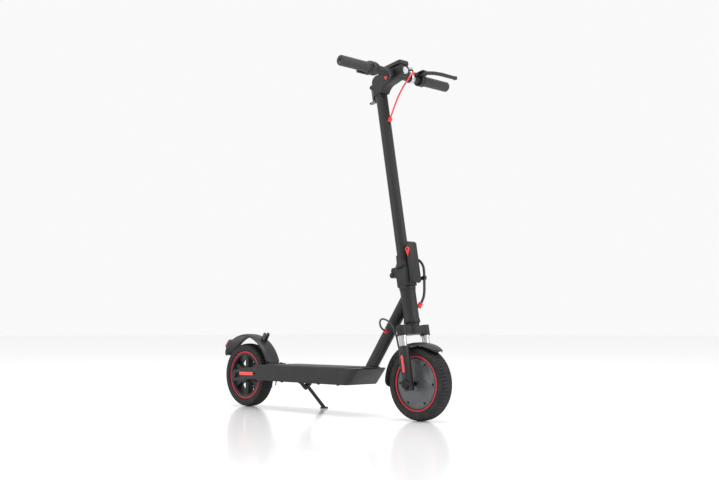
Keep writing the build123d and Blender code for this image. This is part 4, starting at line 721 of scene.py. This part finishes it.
for name, fender in fenders.items():
    fenderShell(name, fender)
for name, side in (("leftFenderLug", 1), ("rightFenderLug", -1)):
    softBlock(name, forkPlace([0, side * fenderLug["left"], fenderLug["up"]]), fenderLug,
              [forwardDir, leftDir, upDir], "fork_lower", "front_fender")
lightTurn = math.radians(tailLightSeat["turn"])
lightOut = np.array([math.cos(lightTurn), 0, math.sin(lightTurn)])
lightAlong = np.array([-math.sin(lightTurn), 0, math.cos(lightTurn)])
softBlock("tailLightSeat", rearAxle + lightOut * tailLightSeat["reach"], tailLightSeat,
          [lightOut, leftDir, lightAlong], "chassis", "rear_fender")
softBlock("rearFenderFoot", rearFenderFoot["middle"], rearFenderFoot, np.eye(3), "chassis", "rear_fender")
print("fenders ready")

sleeves = dict(left=0.050, bottom=0.1113, top=0.1367, inner=0.0108, outer=0.01102, steps=128, sharp=40)


# A bright skin over each sliding tube's bare stretch, which goes down into the leg as the fork is pressed.
def forkSleeves():
    s = sleeves
    height = [s["bottom"], s["top"], s["top"], s["bottom"]]
    radius = [s["outer"], s["outer"], s["inner"], s["inner"]]
    for name, side in (("leftSleeve", 1), ("rightSleeve", -1)):
        centre = frontAxle + leftDir * side * s["left"]
        mesh = gridMesh(name, turned(centre, upDir, height, radius, s["steps"]), True, True)
        mesh.shade_smooth()
        mesh.set_sharp_from_angle(angle=math.radians(s["sharp"]))
        piece = addPiece(name, mesh, finishes["silver"], "steering", ["fork_bellows"])


forkSleeves()

strip = dict(left=0.050, bottom=0.034, length=0.050, radius=0.01455, thickness=0.0015, half=0.0042)


# A slim strip on the outer side of each leg: its half width is half * sqrt(1 - e^2) near the rounded ends.
def legReflectors():
    s = strip
    height = np.linspace(0, s["length"], 61)
    ending = np.clip(1 - np.minimum(height, s["length"] - height) / s["half"], 0, 1)
    half = s["half"] * np.sqrt(1 - ending ** 2)
    bend = np.linspace(-1, 1, 17)
    turn = half[:, None] * bend[None, :] / s["radius"]
    swell = s["thickness"] * (1 - 0.5 * bend[None, :] ** 4) * np.clip(half / s["half"], 0.2, 1)[:, None]
    for name, side in (("leftReflector", 1), ("rightReflector", -1)):
        layers = []
        for lift, order in ((swell, 1), (0 * swell, -1)):
            out = (s["radius"] + lift) * np.cos(turn)
            fore = (s["radius"] + lift) * np.sin(turn)
            layer = np.stack([fore, side * (s["left"] + out), s["bottom"] + height[:, None] + 0 * out], -1)
            layers.append(layer[:, ::order])
        points = frontAxle + np.concatenate(layers, 1) @ np.array([forwardDir, leftDir, upDir])
        mesh = gridMesh(name, points, False, True)
        piece = addPiece(name, mesh, finishes["reflector"], "fork_lower", ["fork_reflectors"])


legReflectors()

grip = dict(forward=70, up=938, inner=0.118, outer=0.236, radius=0.0158, flange=0.0194, bore=0.01275,
            ribs=26, ribDepth=0.00045, flutes=20, steps=330, turns=160, flangeEnd=0.036, flangeFade=0.004,
            endFrom=0.975, endSpan=0.0255, endDrop=0.0022, bodyFrom=0.08, bodyTo=0.93, bodyFade=0.03,
            holeRadius=0.0015, holeBack=0.0001, wall=0.003, boreShare=0.9)


# The grip's skin is a waffle: ribs along it times flutes round it, smooth near its ends and flange. The
# profile then goes in through a small hole at the end and back along the bore.
def handGrips():
    g = grip
    middle = forkPlace([g["forward"], 0, g["up"]])
    length = g["outer"] - g["inner"]
    step = np.linspace(0, 1, g["steps"])
    angle = np.linspace(0, 2 * np.pi, g["turns"], endpoint=False)
    flange = np.clip((g["flangeEnd"] - step) / g["flangeFade"], 0, 1)
    end = np.sqrt(np.clip(1 - (np.clip(step - g["endFrom"], 0, 1) / g["endSpan"]) ** 2, 0, 1))
    base = g["radius"] - g["endDrop"] * (1 - end) + (g["flange"] - g["radius"]) * flange
    fade = g["bodyFade"]
    body = np.clip((step - g["bodyFrom"]) / fade, 0, 1) * np.clip((g["bodyTo"] - step) / fade, 0, 1)
    ribs = np.clip(np.sin(step * 2 * np.pi * g["ribs"]) * 2, -1, 1)
    flutes = np.clip(np.cos(angle * g["flutes"]) * 2, -1, 1)
    dip = g["ribDepth"] * body[None, :] * (1 - 0.5 * (1 + ribs[None, :]) * 0.5 * (1 + flutes[:, None]))
    insideAlong = [g["outer"] - g["holeBack"], g["outer"] - g["wall"], g["inner"] + length * g["boreShare"],
                   g["inner"]]
    insideRadius = [g["holeRadius"], g["bore"], g["bore"], g["bore"]]
    along = np.concatenate([g["inner"] + step * length, insideAlong])
    radius = np.concatenate([base[None, :] - dip, np.tile(insideRadius, (g["turns"], 1))], axis=1)
    ring = np.cos(angle)[:, None] * forwardDir + np.sin(angle)[:, None] * upDir
    for name, side in (("leftGrip", 1), ("rightGrip", -1)):
        places = side * along[None, :, None] * leftDir + radius[..., None] * ring[:, None, :]
        piece = addPiece(name, gridMesh(name, middle + places, True, True), finishes["gripRubber"], "stem",
                         ["grips"])


handGrips()
print("sleeves and grips ready")

# Cord routes, in mm forward of, left of and up the steering line.
cordRoutes = {
    "brakeCable": dict(
        node="brake_cable", body="stem", diameter=5.0, finish="redJacket", slot="cable_red",
        points=[(83, 76.7, 950), (88, 59, 952), (94, 44, 937), (85, 30, 917), (69, 19, 893), (54, 11, 868),
                (43, 5, 845), (31, 1, 823), (20.5, 0, 806.5)]),
    "throttleCable": dict(
        node="throttle_cable", body="stem", diameter=4.0, finish="blackJacket", slot="cable_black",
        points=[(96, -98, 936), (108, -88, 929), (106, -69, 920), (91, -50, 914), (72, -36, 917),
                (56, -26, 925),
                (48, -20.8, 932)]),
    "motorCableUpper": dict(
        node="motor_cable_upper", body="steering", diameter=5.5, finish="blackJacket", slot="cable_black",
        points=[(-92, -20.4, 171), (-94, -34, 177), (-88, -47, 193), (-73, -55, 204), (-55, -57, 201),
                (-40, -54, 189), (-31, -51, 174), (-28, -50, 160)]),
    "motorCableLower": dict(
        node="motor_cable_lower", body="fork_lower", diameter=5.5, finish="blackJacket", slot="cable_black",
        points=[(-27.9, -49.97, 159.6), (-24.1, -48.7, 142), (-21.5, -50, 122), (-19.5, -48.5, 99),
                (-20, -50, 76),
                (-21, -51.5, 54), (-19, -50, 33), (-19.3, -49.8, 13.2)]),
    "harnessUpper": dict(
        node="harness_upper", body="stem", diameter=8.0, finish="blackJacket", slot="cable_black",
        points=[(17, 20, 371), (29, 32, 368), (37, 40, 352), (37, 44, 332), (34, 43, 310)]),
    "harnessLower": dict(
        node="harness_lower", body="steering", diameter=8.0, finish="blackJacket", slot="cable_black",
        points=[(33.95, 42.98, 309.6), (31, 42, 288), (29, 40.5, 268), (26, 35, 247), (19, 25.5, 231)]),
}
rearCable = dict(
    node="rear_brake_cable", body="chassis", diameter=4.0, finish="blackJacket", slot="cable_black",
    points=[(-268.7, 32, 118), (-280.5, 33, 114), (-289.5, 37, 103), (-295.5, 42, 88), (-305.5, 47, 74)])


# A smooth cord: a spline with the route's points as its control points.
def cordPiece(name, cord, places):
    curve = bpy.data.curves.new(name, "CURVE")
    curve.dimensions = "3D"
    curve.bevel_depth = cord["diameter"] * mm / 2
    curve.bevel_resolution = 5
    curve.resolution_u = 16
    curve.use_fill_caps = True
    spline = curve.splines.new("NURBS")
    spline.points.add(len(places) - 1)
    spline.points.foreach_set("co", np.c_[places, np.ones(len(places))].ravel())
    spline.order_u = 3
    spline.use_endpoint_u = True
    curve.materials.append(finishes[cord["finish"]])
    piece = bpy.data.objects.new(name, curve)
    scene.collection.objects.link(piece)
    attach(piece, cord["body"])
    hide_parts(cord["node"])


for name, cord in cordRoutes.items():
    cordPiece(name, cord, forkPlace(cord["points"]))
cordPiece("rearBrakeCable", rearCable, np.array(rearCable["points"]) * mm)
print("cords ready")
